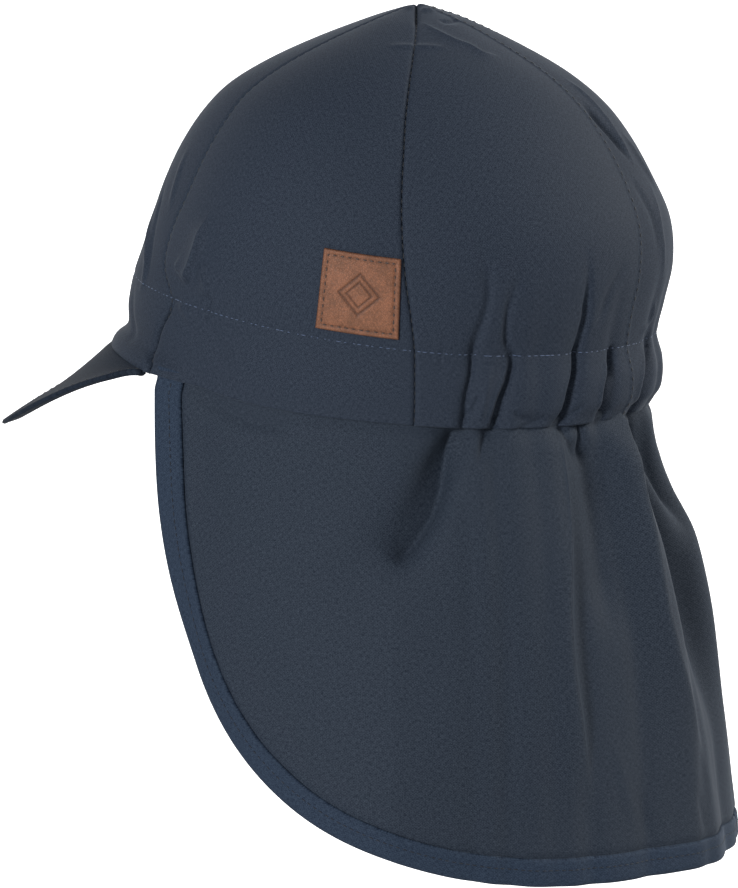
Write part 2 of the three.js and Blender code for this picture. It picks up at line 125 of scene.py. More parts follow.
def unit(vectors: Array) -> Array:
    """The vectors at length one."""
    return vectors / np.maximum(np.linalg.norm(vectors, axis=-1, keepdims=True), SHORTEST)


def grid_normals(points: Array) -> Array:
    """Unit normals of a grid of points whose columns run to the right and rows upwards, seen from outside."""
    across = np.gradient(points, axis=1)
    up = np.gradient(points, axis=0)
    return unit(np.cross(across, up))


def slopes(place: Place, a: Array, b: Array, step: float) -> tuple[Array, Array]:
    """Slopes of a surface along both of its numbers.

    Args:
        place: the surface.
        a, b: where on it.
        step: length of the numeric step.

    Returns:
        The change of the point for one unit of a, and for one unit of b.
    """
    along = (place(a + step, b) - place(a - step, b)) / (2 * step)
    across = (place(a, b + step) - place(a, b - step)) / (2 * step)
    return along, across


class Fold(NamedTuple):
    """A ridge or crease drawn over a cloth. left and right are half-widths in millimetres, seen from outside.

    The line holds the places that it runs through. A depth below zero sinks in. fade is the share of its
    length over which it grows from nothing, and tail the same at its far end, like fade if none is given. A
    crisp fold has a sharp line in its middle, the others are rounded.
    """

    line: tuple[tuple[float, float], ...]
    depth: float
    left: float
    right: float
    fade: float = 0.3
    tail: float | None = None
    crisp: bool = False


def fold_height(
    points: Array, normals: Array, folds: Sequence[Fold], place: Place, pieces: int = 14
) -> Array:
    """How far the folds lift each point of a cloth.

    Args:
        points: points of the bare cloth.
        normals: its unit normals there.
        folds: the folds drawn over it.
        place: the bare cloth as a function of the two numbers that a fold's line is given in.
        pieces: straight pieces that each line is cut into.

    Returns:
        The lift of each point in millimetres.
    """
    shape = points.shape[:-1]
    flat = points.reshape(-1, 3)
    facing = normals.reshape(-1, 3)
    total = np.zeros(len(flat))
    for fold in folds:
        knots = np.array(fold.line, float)
        spots = spline(knots, np.linspace(0, len(knots) - 1, pieces + 1))
        path = place(spots[:, 0], spots[:, 1])
        reach = (CRISP_REACH if fold.crisp else SOFT_REACH) * max(fold.left, fold.right)
        near = np.all((flat >= path.min(0) - reach) & (flat <= path.max(0) + reach), axis=1)
        start = path[:-1]
        step = path[1:] - start
        offset = flat[near][:, None, :] - start[None]
        t = np.clip((offset * step).sum(-1) / (step**2).sum(-1), 0.0, 1.0)
        gap = offset - t[..., None] * step
        square = (gap**2).sum(-1)
        nearest = square.argmin(1)
        rows = np.arange(len(nearest))
        side = (gap[rows, nearest] * np.cross(facing[near], step[nearest])).sum(-1)
        width = np.where(side > 0, fold.left, fold.right)
        along = (nearest + t[rows, nearest]) / pieces
        tail = fold.fade if fold.tail is None else fold.tail
        ends = smoothstep(along, -TINY, fold.fade) * smoothstep(1 - along, -TINY, tail)
        away = np.sqrt(square[rows, nearest]) / width
        total[near] += fold.depth * ends * np.exp(-away if fold.crisp else -(away**2))
    return total.reshape(shape)


class CrownRow(NamedTuple):
    """A level of the crown, counted from the rim up.

    rise is below zero a share of the band's height and above it a share of the way to the apex. front, side
    and back are shares of the ring's lengths. brow, gather and puff are shares of the brow's flare, of the
    deepest gather and of the panels' swell. The sways are degrees by which each pair of seams strays towards
    the back.
    """

    rise: float
    front: float
    side: float
    back: float
    brow: float
    gather: float
    puff: float
    front_sway: float
    side_sway: float
    back_sway: float


CROWN_ROWS = (
    CrownRow(-1.0, 1.0, 1.0, 0.968, 1.0, 0.8, 0.0, 1.2, 1, 2),
    CrownRow(-0.88, 1.0, 1.003, 0.995, 0.86, 1.0, 0.1, 1.2, 1, 2),
    CrownRow(-0.72, 1.0, 1.006, 1.02, 0.32, 1.0, 0.15, -1.3, 1, 2),
    CrownRow(-0.4, 1.0, 1.008, 1.025, 0.28, 0.9, 0.15, 1.2, 1, 2),
    CrownRow(0.0, 1.0, 1.0, 1.0, 0.03, 0.75, 0.2, 3.5, 1, 2),
    CrownRow(0.1, 0.965, 1.012, 1.015, 0.0, 0.45, 0.5, -4.4, 0, 2),
    CrownRow(0.22, 0.925, 1.01, 1.035, 0.0, 0.15, 0.75, -6, -1.5, 3),
    CrownRow(0.35, 0.879, 0.988, 1.01, 0.0, 0.0, 0.95, -4.5, -2.5, 5),
    CrownRow(0.48, 0.822, 0.935, 0.93, 0.0, 0.0, 1.0, -4, -3, 7),
    CrownRow(0.6, 0.748, 0.855, 0.838, 0.0, 0.0, 1.0, -4, -3, 7),
    CrownRow(0.7, 0.658, 0.76, 0.735, 0.0, 0.0, 0.9, -5, -3, 7),
    CrownRow(0.79, 0.52, 0.635, 0.593, 0.0, 0.0, 0.75, -6, -2.5, 8),
    CrownRow(0.87, 0.358, 0.475, 0.418, 0.0, 0.0, 0.5, -6, -1.5, 8),
    CrownRow(0.94, 0.188, 0.27, 0.233, 0.0, 0.0, 0.25, -5, 0, 7),
    CrownRow(0.975, 0.088, 0.13, 0.108, 0.0, 0.0, 0.12, -4, 0, 6),
    CrownRow(1.0, 0.0, 0.0, 0.0, 0.0, 0.0, 0.0, -4, 0, 6),
)


class Gather(NamedTuple):
    """A crease over the elastic: its angle, its drift back at the stitch line, half-width and depth.

    The first three are degrees, the depth is a share of the deepest.
    """

    at: float
    lean: float
    width: float
    depth: float


GATHERS = (
    Gather(105.5, 1.5, 2.4, 0.6),
    Gather(112.5, 3.5, 2.6, 1.0),
    Gather(122, 1.0, 2.6, 0.45),
    Gather(129.5, 4.0, 2.6, 1.0),
    Gather(142.5, 3.0, 2.4, 0.9),
    Gather(157, 7.0, 2.4, 1.0),
    Gather(169, 3.0, 2.6, 0.7),
    Gather(180, 1.0, 2.8, 0.9),
    Gather(191, -2.5, 2.6, 0.8),
    Gather(203, -5.0, 2.4, 1.0),
    Gather(216, -2.5, 2.6, 0.9),
    Gather(229, -3.0, 2.6, 0.8),
    Gather(241, -2.0, 2.6, 1.0),
    Gather(253, -1.0, 2.4, 0.6),
)


class FlapRow(NamedTuple):
    """A level of the flap: share of its length, and shares of the flares at its side and at its back."""

    drop: float
    side: float
    back: float


FLAP_ROWS = (
    FlapRow(0.0, 0.0, 0.0),
    FlapRow(0.12, 0.13, 0.14),
    FlapRow(0.28, 0.36, 0.44),
    FlapRow(0.46, 0.6, 0.66),
    FlapRow(0.66, 0.8, 0.8),
    FlapRow(0.85, 0.93, 0.905),
    FlapRow(1.0, 1.0, 1.0),
)


class Drape(NamedTuple):
    """A long fold of the flap.

    top and foot are angles at the rim and at the hem, start and end the shares of the drop between which it
    shows, width its half-width in degrees, and depth a share of the deepest fold, below zero for a hollow.
    """

    top: float
    foot: float
    start: float
    end: float
    width: float
    depth: float


DRAPES = (
    Drape(44, 60, 0.0, 0.45, 10, -0.3),
    Drape(106, 38, -0.15, 0.52, 8, -0.4),
    Drape(122, 78, 0.0, 1.1, 13, 0.4),
    Drape(148.5, 157.5, -0.2, 1.25, 7, 0.85),
    Drape(158, 174, -0.3, 0.75, 6, -1.4),
    Drape(170, 184, 0.1, 1.25, 9, 0.5),
    Drape(191, 198, -0.1, 0.9, 7, -0.8),
    Drape(207, 208, -0.1, 1.4, 8, 0.8),
    Drape(222, 232, -0.1, 0.8, 7, -0.7),
    Drape(240, 268, 0.0, 1.2, 10, 0.5),
    Drape(254, 312, -0.15, 0.65, 8, -0.9),
    Drape(314, 300, 0.0, 0.45, 10, -0.3),
)

# The crown's folds. A place is an angle round the head and a level, counted in rows of the crown's table.
# First the creases over the elastic on the left, and the soft pulls that run up from them.
LEFT_CREASES = (
    Fold(
        ((107.7, 4.5), (107.3, 4.1), (106.7, 3.4), (105.4, 2.45), (105.4, 1.27), (105.4, 0)),
        -2.4, 0.9, 1.0, 0.3, 0, True,
    ),
    Fold(
        ((115.8, 4.5), (116.8, 3.9), (115.3, 3.17), (113.4, 2.28), (113.0, 1.28), (113, 0)),
        -3.0, 1.0, 1.1, 0.3, 0, True,
    ),
    Fold(
        ((114.0, 4.4), (115.2, 3.8), (113.6, 3.1), (111.7, 2.3), (111.2, 1.2), (111.3, 0.1)),
        0.6, 0.9, 1.2, 0.3, 0.1,
    ),
    Fold(
        ((135.0, 4.7), (134.2, 4.1), (133.6, 3.56), (131.6, 2.81), (130.8, 2.07), (129.8, 0)),
        -3.2, 1.1, 1.1, 0.25, 0, True,
    ),
    Fold(((132.4, 4.6), (131.9, 3.5), (129.8, 2.7), (129.0, 1.9), (128.0, 0.3)), 0.5, 0.9, 1.3, 0.3, 0.1),
    Fold(
        ((146.2, 4.2), (146.0, 3.8), (144.4, 3.25), (142.3, 2.6), (143.0, 1.0), (143.4, 0)),
        -2.2, 0.9, 1.0, 0.2, 0, True,
    ),
    Fold(((143.8, 3.9), (142.2, 3.2), (140.4, 2.5), (140.8, 1.2)), 0.6, 0.8, 1.2, 0.25),
    Fold(
        ((165.8, 4.4), (165.5, 3.8), (161.4, 3.2), (158.8, 2.3), (158.4, 0.6), (158.4, 0)),
        -2.2, 0.9, 1.0, 0.2, 0, True,
    ),
    Fold(((163.4, 4.0), (158.8, 3.2), (156.2, 2.2), (156.2, 1.0)), 0.7, 0.7, 1.4, 0.25),
    Fold(((109.5, 6.9), (109.7, 5.6), (107.9, 4.5), (107.3, 3.9)), -1.3, 1.3, 1.7, 0.5, 0.3),
    Fold(((114.4, 6.0), (114.6, 5.05), (114.9, 4.6), (116.4, 4.0)), -1.5, 1.1, 1.4, 0.5, 0.3),
    Fold(((111.2, 3.9), (109.8, 2.9), (109.0, 1.8), (109.4, 0.6)), 0.6, 1.1, 1.3, 0.3),
    Fold(((133.4, 7.0), (134.6, 5.54), (135.2, 5.06), (134.3, 4.0)), -2.2, 1.3, 1.7, 0.5, 0.25),
    Fold(((147.4, 6.4), (141.3, 5.67), (139.0, 4.6)), -0.8, 1.8, 2.0, 0.4),
    Fold(((164.9, 5.3), (164.9, 4.6), (158.0, 4.2)), 0.8, 0.7, 1.2, 0.3),
    Fold(((107.5, 7.2), (108.9, 6.1), (109.8, 5.3)), -0.6, 2.0, 2.4, 0.5),
    Fold(((117.2, 6.3), (114.9, 5.61), (114.9, 4.7)), -0.7, 1.5, 2.0, 0.45),
    Fold(((100.5, 4.4), (100.0, 3.9), (99.6, 3.4)), -0.4, 0.6, 0.8, 0.4),
    Fold(((116.4, 2.0), (118.2, 1.3), (122.0, 0.9)), -0.9, 0.7, 0.9, 0.3, 0.3, True),
    Fold(((135.0, 2.2), (132.6, 1.3), (130.6, 0.6)), -0.9, 0.9, 0.8, 0.3, 0.1, True),
    Fold(((108.4, 2.7), (107.0, 2.0), (105.5, 1.0)), -1.0, 0.8, 0.7, 0.25, 0.1, True),
    Fold(((126.0, 1.3), (122.5, 0.7), (119.5, 0.0)), -0.8, 0.8, 0.9, 0.4, 0, True),
)

# Where the cloth is pinched at the foot of the left front seam.
PINCH_FOLDS = (
    Fold(((39.9, 6.9), (39.6, 6.2), (39.2, 5.6), (38.3, 4.65)), 3.0, 1.5, 5.0, 0.4, 0.12, True),
    Fold(((31.2, 5.12), (34.5, 4.95), (38.6, 4.7)), 1.3, 2.6, 0.8, 0.3, 0.15, True),
    Fold(((40.8, 5.5), (43.6, 5.1), (46.2, 4.5)), 1.8, 1.2, 3.2, 0.3, 0.15, True),
    Fold(((36.6, 4.1), (39.6, 3.75), (42.4, 3.4)), 1.1, 2.5, 1.8, 0.35),
    Fold(((46.8, 4.5), (46.0, 3.6)), -1.5, 0.6, 0.8, 0.2, 0.2, True),
    Fold(((46.6, 3.9), (50.1, 2.9), (53.8, 1.9)), -0.8, 2.2, 2.8, 0.4),
    Fold(
        ((34.6, 4.1), (34.2, 3.7), (31.1, 3.0), (28.6, 1.9), (31.2, 0.9), (31.2, 0)),
        -1.5, 0.8, 0.8, 0.15, 0, True,
    ),
)

# Soft folds over the brow.
FRONT_FOLDS = (
    Fold(((2.0, 6.4), (9.0, 5.4), (17.5, 4.5), (18.2, 3.5)), 0.9, 1.4, 1.8, 0.35),
    Fold(((7.5, 7.2), (10.5, 6.2), (15.0, 5.2), (22.0, 4.2)), -0.8, 1.4, 1.6, 0.35),
    Fold(((14.0, 8.2), (17.0, 7.2), (19.5, 6.2)), 0.6, 1.3, 1.6, 0.4),
    Fold(((10.0, 4.0), (14.0, 2.6), (20.0, 1.2)), -0.6, 2.0, 2.4, 0.4),
)

# Bends close under the apex.
TOP_FOLDS = (
    Fold(((70.7, 12.23), (95.1, 12.27), (114.1, 12.24)), 0.6, 1.6, 1.0, 0.3),
    Fold(
        ((94.5, 13.5), (118.0, 12.54), (126.7, 12.29), (131.0, 12.0), (141.7, 11.87)),
        1.1, 1.2, 2.2, 0.25, 0.3, True,
    ),
    Fold(((120.0, 13.4), (140.0, 13.3), (160.0, 13.45)), -0.8, 0.8, 1.6, 0.3),
    Fold(((30.0, 14.5), (60.0, 14.5), (82.0, 14.5)), 0.5, 1.6, 1.6, 0.4),
    Fold(((104.0, 14.4), (128.0, 14.3), (160.0, 14.3)), 0.7, 1.8, 1.8, 0.4),
    Fold(((93.0, 12.9), (93.0, 13.7), (93.0, 14.95)), -1.2, 0.9, 0.9, 0.4, 0, True),
)

# Bends of the back panel, half-way up.
BACK_FOLDS = (
    Fold(((159.8, 10.3), (160.7, 9.6), (162.8, 9.1), (165.6, 8.4)), -1.6, 1.5, 1.3, 0.3),
    Fold(((167.1, 11.0), (166.8, 10.2), (166.2, 9.3), (166.7, 8.2)), 0.9, 1.0, 1.2, 0.25, 0.25, True),
    Fold(((171.8, 8.0), (166.0, 6.94), (166.5, 5.56)), 0.8, 1.2, 1.5, 0.35, 0.35, True),
    Fold(((171.2, 9.25), (172.8, 8.44), (176.2, 7.55)), 0.7, 1.3, 1.6, 0.35),
    Fold(((160.0, 8.3), (163.0, 7.4), (162.0, 6.2)), -0.7, 1.5, 2.0, 0.4),
)

LEFT_END = 175
CREASE_TOP = 4.4
CREASE_MIDDLE = 2.6
CREASE_LEAN = 0.6
CREASE_DEPTH = 1.8


def far_crease(gather: Gather) -> Fold:
    """The crisp crease in the middle of a gather on the far side."""
    top = (gather.at + gather.lean, CREASE_TOP)
    middle = (gather.at + gather.lean * CREASE_LEAN, CREASE_MIDDLE)
    depth = -CREASE_DEPTH * gather.depth
    return Fold((top, middle, (gather.at, 0)), depth, left=1.2, right=1.3, tail=0, crisp=True)


CROWN_FOLDS = LEFT_CREASES + PINCH_FOLDS + FRONT_FOLDS + TOP_FOLDS + BACK_FOLDS + tuple(
    far_crease(gather) for gather in GATHERS if gather.at > LEFT_END
)

# The flap's folds. A place is flat cloth: millimetres from the middle of the back, and down from the rim.
SLANT = (
    (103.9, -5.0),
    (104.5, 0.2),
    (107.2, 5.5),
    (110.9, 15.0),
    (113.8, 23.6),
    (118.4, 32.6),
    (124.3, 41.2),
)

FLAP_FOLDS = (
    Fold(SLANT + ((133, 49),), -3.2, 6.0, 6.0, 0.28, 0.2),
    Fold(SLANT + ((127, 45),), -4.2, 2.0, 5.0, 0.28, 0.2, True),
    Fold(((93.0, -6.0), (94.2, 0.1), (97.2, 5.8), (100.4, 14.0)), -2.8, 1.6, 2.8, 0.15, 0.4, True),
    Fold(((99.0, 1.0), (103.3, 10.6), (107.3, 23.2)), 1.2, 2.5, 3.0, 0.35),
    Fold(
        ((69.8, -2.0), (70.1, 24.0), (74.6, 55.0), (74.9, 80.0), (72.0, 106.0), (69.2, 128.0)),
        3.6, 2.6, 15.0, 0.08, 0.35, True,
    ),
    Fold(((60.0, 1.0), (59.0, 25.0), (60.0, 50.0), (58.0, 75.0)), -3.4, 6.0, 6.0, 0.15, 0.4),
    Fold(((68.0, -2.0), (66.5, 5.6), (61.5, 14.0)), -2.4, 3.0, 2.6, 0.2, 0.4, True),
    Fold(((58.5, -6.0), (59.3, 0.5), (59.8, 6.5), (60.5, 15.0)), -2.8, 1.4, 1.8, 0.15, 0.4, True),
    Fold(
        ((37.0, -2.0), (41.0, 9.0), (42.0, 18.0), (42.3, 36.0), (41.8, 67.5), (34.5, 101.5), (25.0, 130.0)),
        2.6, 2.6, 7.5, 0.05, 0.35, True,
    ),
    Fold(
        ((25.0, -8.0), (22.5, 2.0), (19.8, 10.5), (13.5, 23.2), (11.5, 36.0), (12.9, 52.0)),
        -5.6, 5.2, 5.2, 0.2, 0.35,
    ),
    Fold(((196.0, 1.5), (182.0, 4.6), (166.0, 5.4), (152.0, 4.0)), -2.0, 3.6, 3.0, 0.3),
    Fold(((100.0, 44.0), (108.6, 62.0), (118.0, 84.0), (131.0, 112.0)), -1.4, 12.0, 14.0, 0.35),
    Fold(((171.0, 66.0), (162.1, 86.0), (148.2, 101.0)), -0.9, 6.0, 7.0, 0.4),
    Fold(((89.0, 112.0), (88.9, 136.0)), -0.5, 1.6, 2.0, 0.4),
    Fold(((53.8, 116.0), (51.3, 139.0)), -0.6, 1.8, 2.2, 0.4),
    Fold(((36.0, 120.0), (32.5, 138.0)), -0.5, 1.5, 1.8, 0.4),
    Fold(((62.9, 97.6), (56.0, 134.0)), 0.5, 2.0, 2.2, 0.4),
)


@dataclass(frozen=True)
class Crown:
    """The crown's bare form: six panels swelling between their seams over a ring, with a band at its foot."""

    ring_front: float = 89.0
    ring_back: float = 82.0
    ring_side: float = 72.0
    height: float = 102.0
    apex_shift: float = 3.0
    band_height: float = 23.0
    temple_drop: float = 2.5
    temple: float = 56.0
    temple_spread: float = 28.0
    stitch_front: float = 14.0
    stitch_side: float = -0.5
    stitch_back: float = -4.5
    brow_flare: float = 7.5
    brow_full: float = 28.0
    brow_end: float = 46.0
    panel_puff: float = 1.6
    seam_depth: float = 0.7
    seam_puff: float = 0.1
    gather_depth: float = 1.5
    front_seam: float = 30.0
    side_seam: float = 93.0
    back_seam: float = 150.0
    seam_roll: tuple[float, float, float] = (0.4, 0.65, -0.3)
    seam_width: float = 0.7
    groove_depth: float = 0.25
    groove_width: float = 0.8
    slope_step: float = 0.05

    def column(self, name: str) -> Array:
        """One column of the table of levels."""
        return np.array([getattr(row, name) for row in CROWN_ROWS], float)

    def stitch_height(self, angle: Array) -> Array:
        """Height of the stitch line that tops the band."""
        turn = np.radians(angle)
        ends = (self.stitch_front + self.stitch_back) / 2
        level = (ends + self.stitch_side) / 2
        tilt = (self.stitch_front - self.stitch_back) / 2
        return level + tilt * np.cos(turn) + (ends - level) * np.cos(2 * turn)

    def outward(self, angle: Array) -> Array:
        """Level direction out of the ring."""
        turn = np.radians(angle)
        length = np.where(np.cos(turn) > 0, self.ring_front, self.ring_back)
        level = np.zeros_like(turn)
        return unit(np.stack([np.sin(turn) * length, -np.cos(turn) * self.ring_side, level], -1))

    def row_point(self, index: Array, angle: Array) -> Array:
        """Points of the bare crown on numbered rows of the table."""
        turn = np.radians(angle)
        brow_angle = np.abs((angle + 180) % 360 - 180)
        stitch = self.stitch_height(angle)
        band = self.band_height + self.temple_drop * bump(brow_angle - self.temple, self.temple_spread)
        rise, front, side, back, brow = (
            self.column(name)[index] for name in ("rise", "front", "side", "back", "brow")
        )
        height = stitch + rise * np.where(rise < 0, band, self.height - stitch)
        length = np.where(np.cos(turn) > 0, front * self.ring_front, back * self.ring_back)
        shift = np.maximum(rise, 0) * self.apex_shift
        flare = brow * self.brow_flare * (1 - smoothstep(brow_angle, self.brow_full, self.brow_end))
        point = np.stack([side * self.ring_side * np.sin(turn), shift - length * np.cos(turn), height], -1)
        return point + self.outward(angle) * flare[..., None]

    def seam_angle(self, line: int, level: Array) -> Array:
        """Angle of one of the seven lines that bound the panels, from the right front seam round the left."""
        pair = SEAM_PAIRS[line]
        at = (self.front_seam, self.side_seam, self.back_seam)[pair]
        name = ("front_sway", "side_sway", "back_sway")[pair]
        angle = at + spline(self.column(name), np.asarray(level, float))
        if line == 0:
            return -angle
        return angle if line <= 3 else 360 - angle

    def puff_share(self, angle: Array, level: Array) -> Array:
        """Swell of the cloth between two seams, none at the seams."""
        first = self.seam_angle(0, level)
        place = first + (angle - first) % 360
        share = np.zeros_like(place)
        for line in range(6):
            start = self.seam_angle(line, level)
            end = self.seam_angle(line + 1, level)
            inside = (place >= start) & (place <= end)
            share = np.where(inside, np.sin(np.pi * (place - start) / (end - start)), share)
        return share

    def gather_share(self, angle: Array, rise: Array) -> Array:
        """Depth of the creases over the elastic, as a share of the deepest."""
        up = np.clip(1 + rise, 0, 1)
        wrapped = angle % 360
        return sum(
            gather.depth * bump(wrapped - gather.at - gather.lean * up, gather.width) for gather in GATHERS
        )

    def base(self, angle: Array, level: Array) -> Array:
        """Points of the crown as the solids have it. level counts the rows of the table from the rim."""
        angle = np.asarray(angle, float)
        level = np.asarray(level, float)
        last = len(CROWN_ROWS) - 1
        spot = np.clip(level, 0, last)
        index = np.minimum(spot.astype(int), last - 1)
        t = (spot - index)[..., None]
        p1 = self.row_point(index, angle)
        p2 = self.row_point(index + 1, angle)
        below = self.row_point(np.maximum(index - 1, 0), angle)
        above = self.row_point(np.minimum(index + 2, last), angle)
        p0 = np.where((index > 0)[..., None], below, 2 * p1 - p2)
        p3 = np.where((index + 2 <= last)[..., None], above, 2 * p2 - p1)
        point = between(p0, p1, p2, p3, t)
        rise, gather, puff = (spline(self.column(name), level) for name in ("rise", "gather", "puff"))
        sunk = self.seam_depth * np.clip(puff / self.seam_puff, 0, 1)
        swell = puff * (self.panel_puff + self.seam_depth) * self.puff_share(angle, level) - sunk
        crease = gather * self.gather_depth * self.gather_share(angle, rise)
        return point + self.outward(angle) * (swell - crease)[..., None]

    def surface(self, angle: Array, level: Array) -> Array:
        """Points of the dressed crown, with rolled seams, the stitched groove and its folds."""
        angle, level = np.broadcast_arrays(np.asarray(angle, float), np.asarray(level, float))
        point = self.base(angle, level)
        along, up = slopes(self.base, angle, level, self.slope_step)
        normal = unit(np.cross(along, up))
        reach = np.linalg.norm(along, axis=-1)
        lift = fold_height(point, normal, CROWN_FOLDS, self.base)
        first = self.seam_angle(0, level)
        place = first + (angle - first) % 360
        for line, pair in enumerate(SEAM_PAIRS):
            away = (place - self.seam_angle(line, level)) * reach
            lift = lift - self.seam_roll[pair] * bump(away, self.seam_width)
        over = (point[..., 2] - self.stitch_height(angle)) / np.maximum(unit(up)[..., 2], 0.2)
        lift = lift - self.groove_depth * bump(over, self.groove_width)
        return point + normal * lift[..., None]

    def facing(self, angle: Array, level: Array) -> tuple[Array, Array]:
        """Points of the dressed crown and its unit normals there."""
        along, up = slopes(self.surface, angle, level, self.slope_step)
        return self.surface(angle, level), unit(np.cross(along, up))

    def level_at(self, angle: Array, height: Array, halvings: int = 22) -> Array:
        """Level of the crown that lies at some height over the stitch line, above or below it."""
        angle, height = np.broadcast_arrays(np.asarray(angle, float), np.asarray(height, float))
        low = np.zeros(angle.shape)
        high = np.full(angle.shape, len(CROWN_ROWS) - 1.0)
        stitch = self.stitch_height(angle)
        for _ in range(halvings):
            middle = (low + high) / 2
            under = self.base(angle, middle)[..., 2] - stitch < height
            low = np.where(under, middle, low)
            high = np.where(under, high, middle)
        return low


@dataclass(frozen=True)
class Flap:
    """The neck flap's form: flat cloth hung from the rim. along is counted from the middle of the back."""

    crown: Crown
    length: float = 151.5
    wall: float = 0.9
    flare_side: float = 18.0
    flare_back: float = 28.0
    fold_depth: float = 6.0
    front_cling: float = 0.9
    back_rise: float = 4.4
    rise_at: float = 0.22
    rise_spread: float = 0.28
    fold_rise: float = 0.2
    fold_fade: float = 0.35
    top_width: float = 0.7
    foot_width: float = 1.3
    rim_hold: float = 0.1
    start: float = 33.5
    belly: float = 2.56
    foot: float = 3.3
    tuck: float = 1.1
    tuck_drop: float = 5.0
    slope_step: float = 0.05

    def rim_length(self, steps: int = 60) -> float:
        """Length of the rim from the flap's front corner to the middle of the back."""
        angles = np.linspace(self.start, 180, steps + 1)
        points = self.crown.row_point(np.zeros(len(angles), int), angles)
        return float(np.linalg.norm(np.diff(points, axis=0), axis=1).sum())

    def angle_of(self, along: Array) -> Array:
        """Angle of the rim that a place of the cloth hangs from."""
        return 180 - np.asarray(along, float) / self.rim_length() * (180 - self.start)

    def row_value(self, name: str, share: Array) -> Array:
        """A column of the flap's table at a share of the drop."""
        drops = np.array([row.drop for row in FLAP_ROWS])
        values = np.array([getattr(row, name) for row in FLAP_ROWS])
        index = np.clip(np.searchsorted(drops, share, side="left"), 1, len(drops) - 1)
        place = index - 1 + (share - drops[index - 1]) / (drops[index] - drops[index - 1])
        return spline(values, place)

    def base(self, along: Array, drop: Array) -> Array:
        """Points of the flap's outer face as the solids have it."""
        along, drop = np.broadcast_arrays(np.asarray(along, float), np.asarray(drop, float))
        angle = self.angle_of(along)
        share = np.maximum(drop / self.length, 0)
        turn = np.radians(angle)
        back = np.clip(-np.cos(turn), 0, 1) ** 2
        front = np.clip(np.cos(turn), 0, 1)
        side = self.flare_side * self.row_value("side", share) * (1 - self.front_cling * front)
        flare = mixed(side, self.flare_back * self.row_value("back", share), back)
        fall = np.sqrt(np.maximum(drop * drop - flare * flare, 0)) * np.sign(drop)
        folds = np.zeros_like(share)
        for drape in DRAPES:
            centre = mixed(drape.top, drape.foot, share)
            grown = smoothstep(share, drape.start, drape.start + self.fold_rise)
            left = 1 - smoothstep(share, drape.end - self.fold_fade, drape.end)
            width = drape.width * mixed(self.top_width, self.foot_width, share)
            folds = folds + drape.depth * grown * left * bump(angle - centre, width)
        point = self.crown.base(angle, np.zeros_like(angle))
        point[..., 2] -= fall
        loose = smoothstep(share, 0, self.rim_hold)
        return point + self.crown.outward(angle) * (flare + self.fold_depth * folds * loose)[..., None]

    def surface(self, along: Array, drop: Array) -> Array:
        """Points of the dressed flap's outer face, tucked behind the crown's rim at its top."""
        along, drop = np.broadcast_arrays(np.asarray(along, float), np.asarray(drop, float))
        point = self.base(along, drop)
        normal = self.base_normal(along, drop)
        lift = fold_height(point, normal, FLAP_FOLDS, self.base)
        tucked = self.tuck * (1 - smoothstep(drop, 0, self.tuck_drop))
        return point + normal * lift[..., None] - self.crown.outward(self.angle_of(along)) * tucked[..., None]

    def base_normal(self, along: Array, drop: Array) -> Array:
        """Unit normals of the bare flap. along runs to the left, so the slopes are taken in reverse."""
        across, down = slopes(self.base, along, drop, self.slope_step)
        return unit(np.cross(across, down))

    def facing(self, along: Array, drop: Array) -> tuple[Array, Array]:
        """Points of the dressed flap and its unit normals there."""
        across, down = slopes(self.surface, along, drop, self.slope_step)
        return self.surface(along, drop), unit(np.cross(across, down))

    def free_edge(self, share: Array, moved: Array, samples: int = 400) -> Array:
        """The cloth's free edge as flat places.

        Args:
            share: how far round, from the front corner (0) to the middle of the back (1).
            moved: how far the place lies inside the edge.
            samples: how finely the edge is measured.

        Returns:
            Rows of along and drop.
        """
        angle = np.linspace(0, math.pi / 2, samples + 1)
        reach = np.clip(np.cos(angle), 0, 1) ** (2 / self.foot)
        rise = self.back_rise * bump(reach - self.rise_at, self.rise_spread)
        drop = self.length * np.sin(angle) ** (2 / self.belly) - rise
        line = np.stack([self.rim_length() * reach, drop], -1)
        steps = np.linalg.norm(np.diff(line, axis=0), axis=1)
        way = np.concatenate([[0], np.cumsum(steps)]) / steps.sum()
        place = np.stack([np.interp(share, way, line[:, k]) for k in range(2)], -1)
        tangents = unit(np.gradient(line, way, axis=0))
        edge = unit(np.stack([np.interp(share, way, tangents[:, k]) for k in range(2)], -1))
        inward = np.stack([-edge[..., 1], edge[..., 0]], -1)
        return place + inward * np.asarray(moved, float)[..., None]

    def edge_length(self, samples: int = 400) -> float:
        """Length of the free edge from the front corner to the middle of the back."""
        line = self.free_edge(np.linspace(0, 1, samples), np.zeros(samples))
        return float(np.linalg.norm(np.diff(line, axis=0), axis=1).sum())


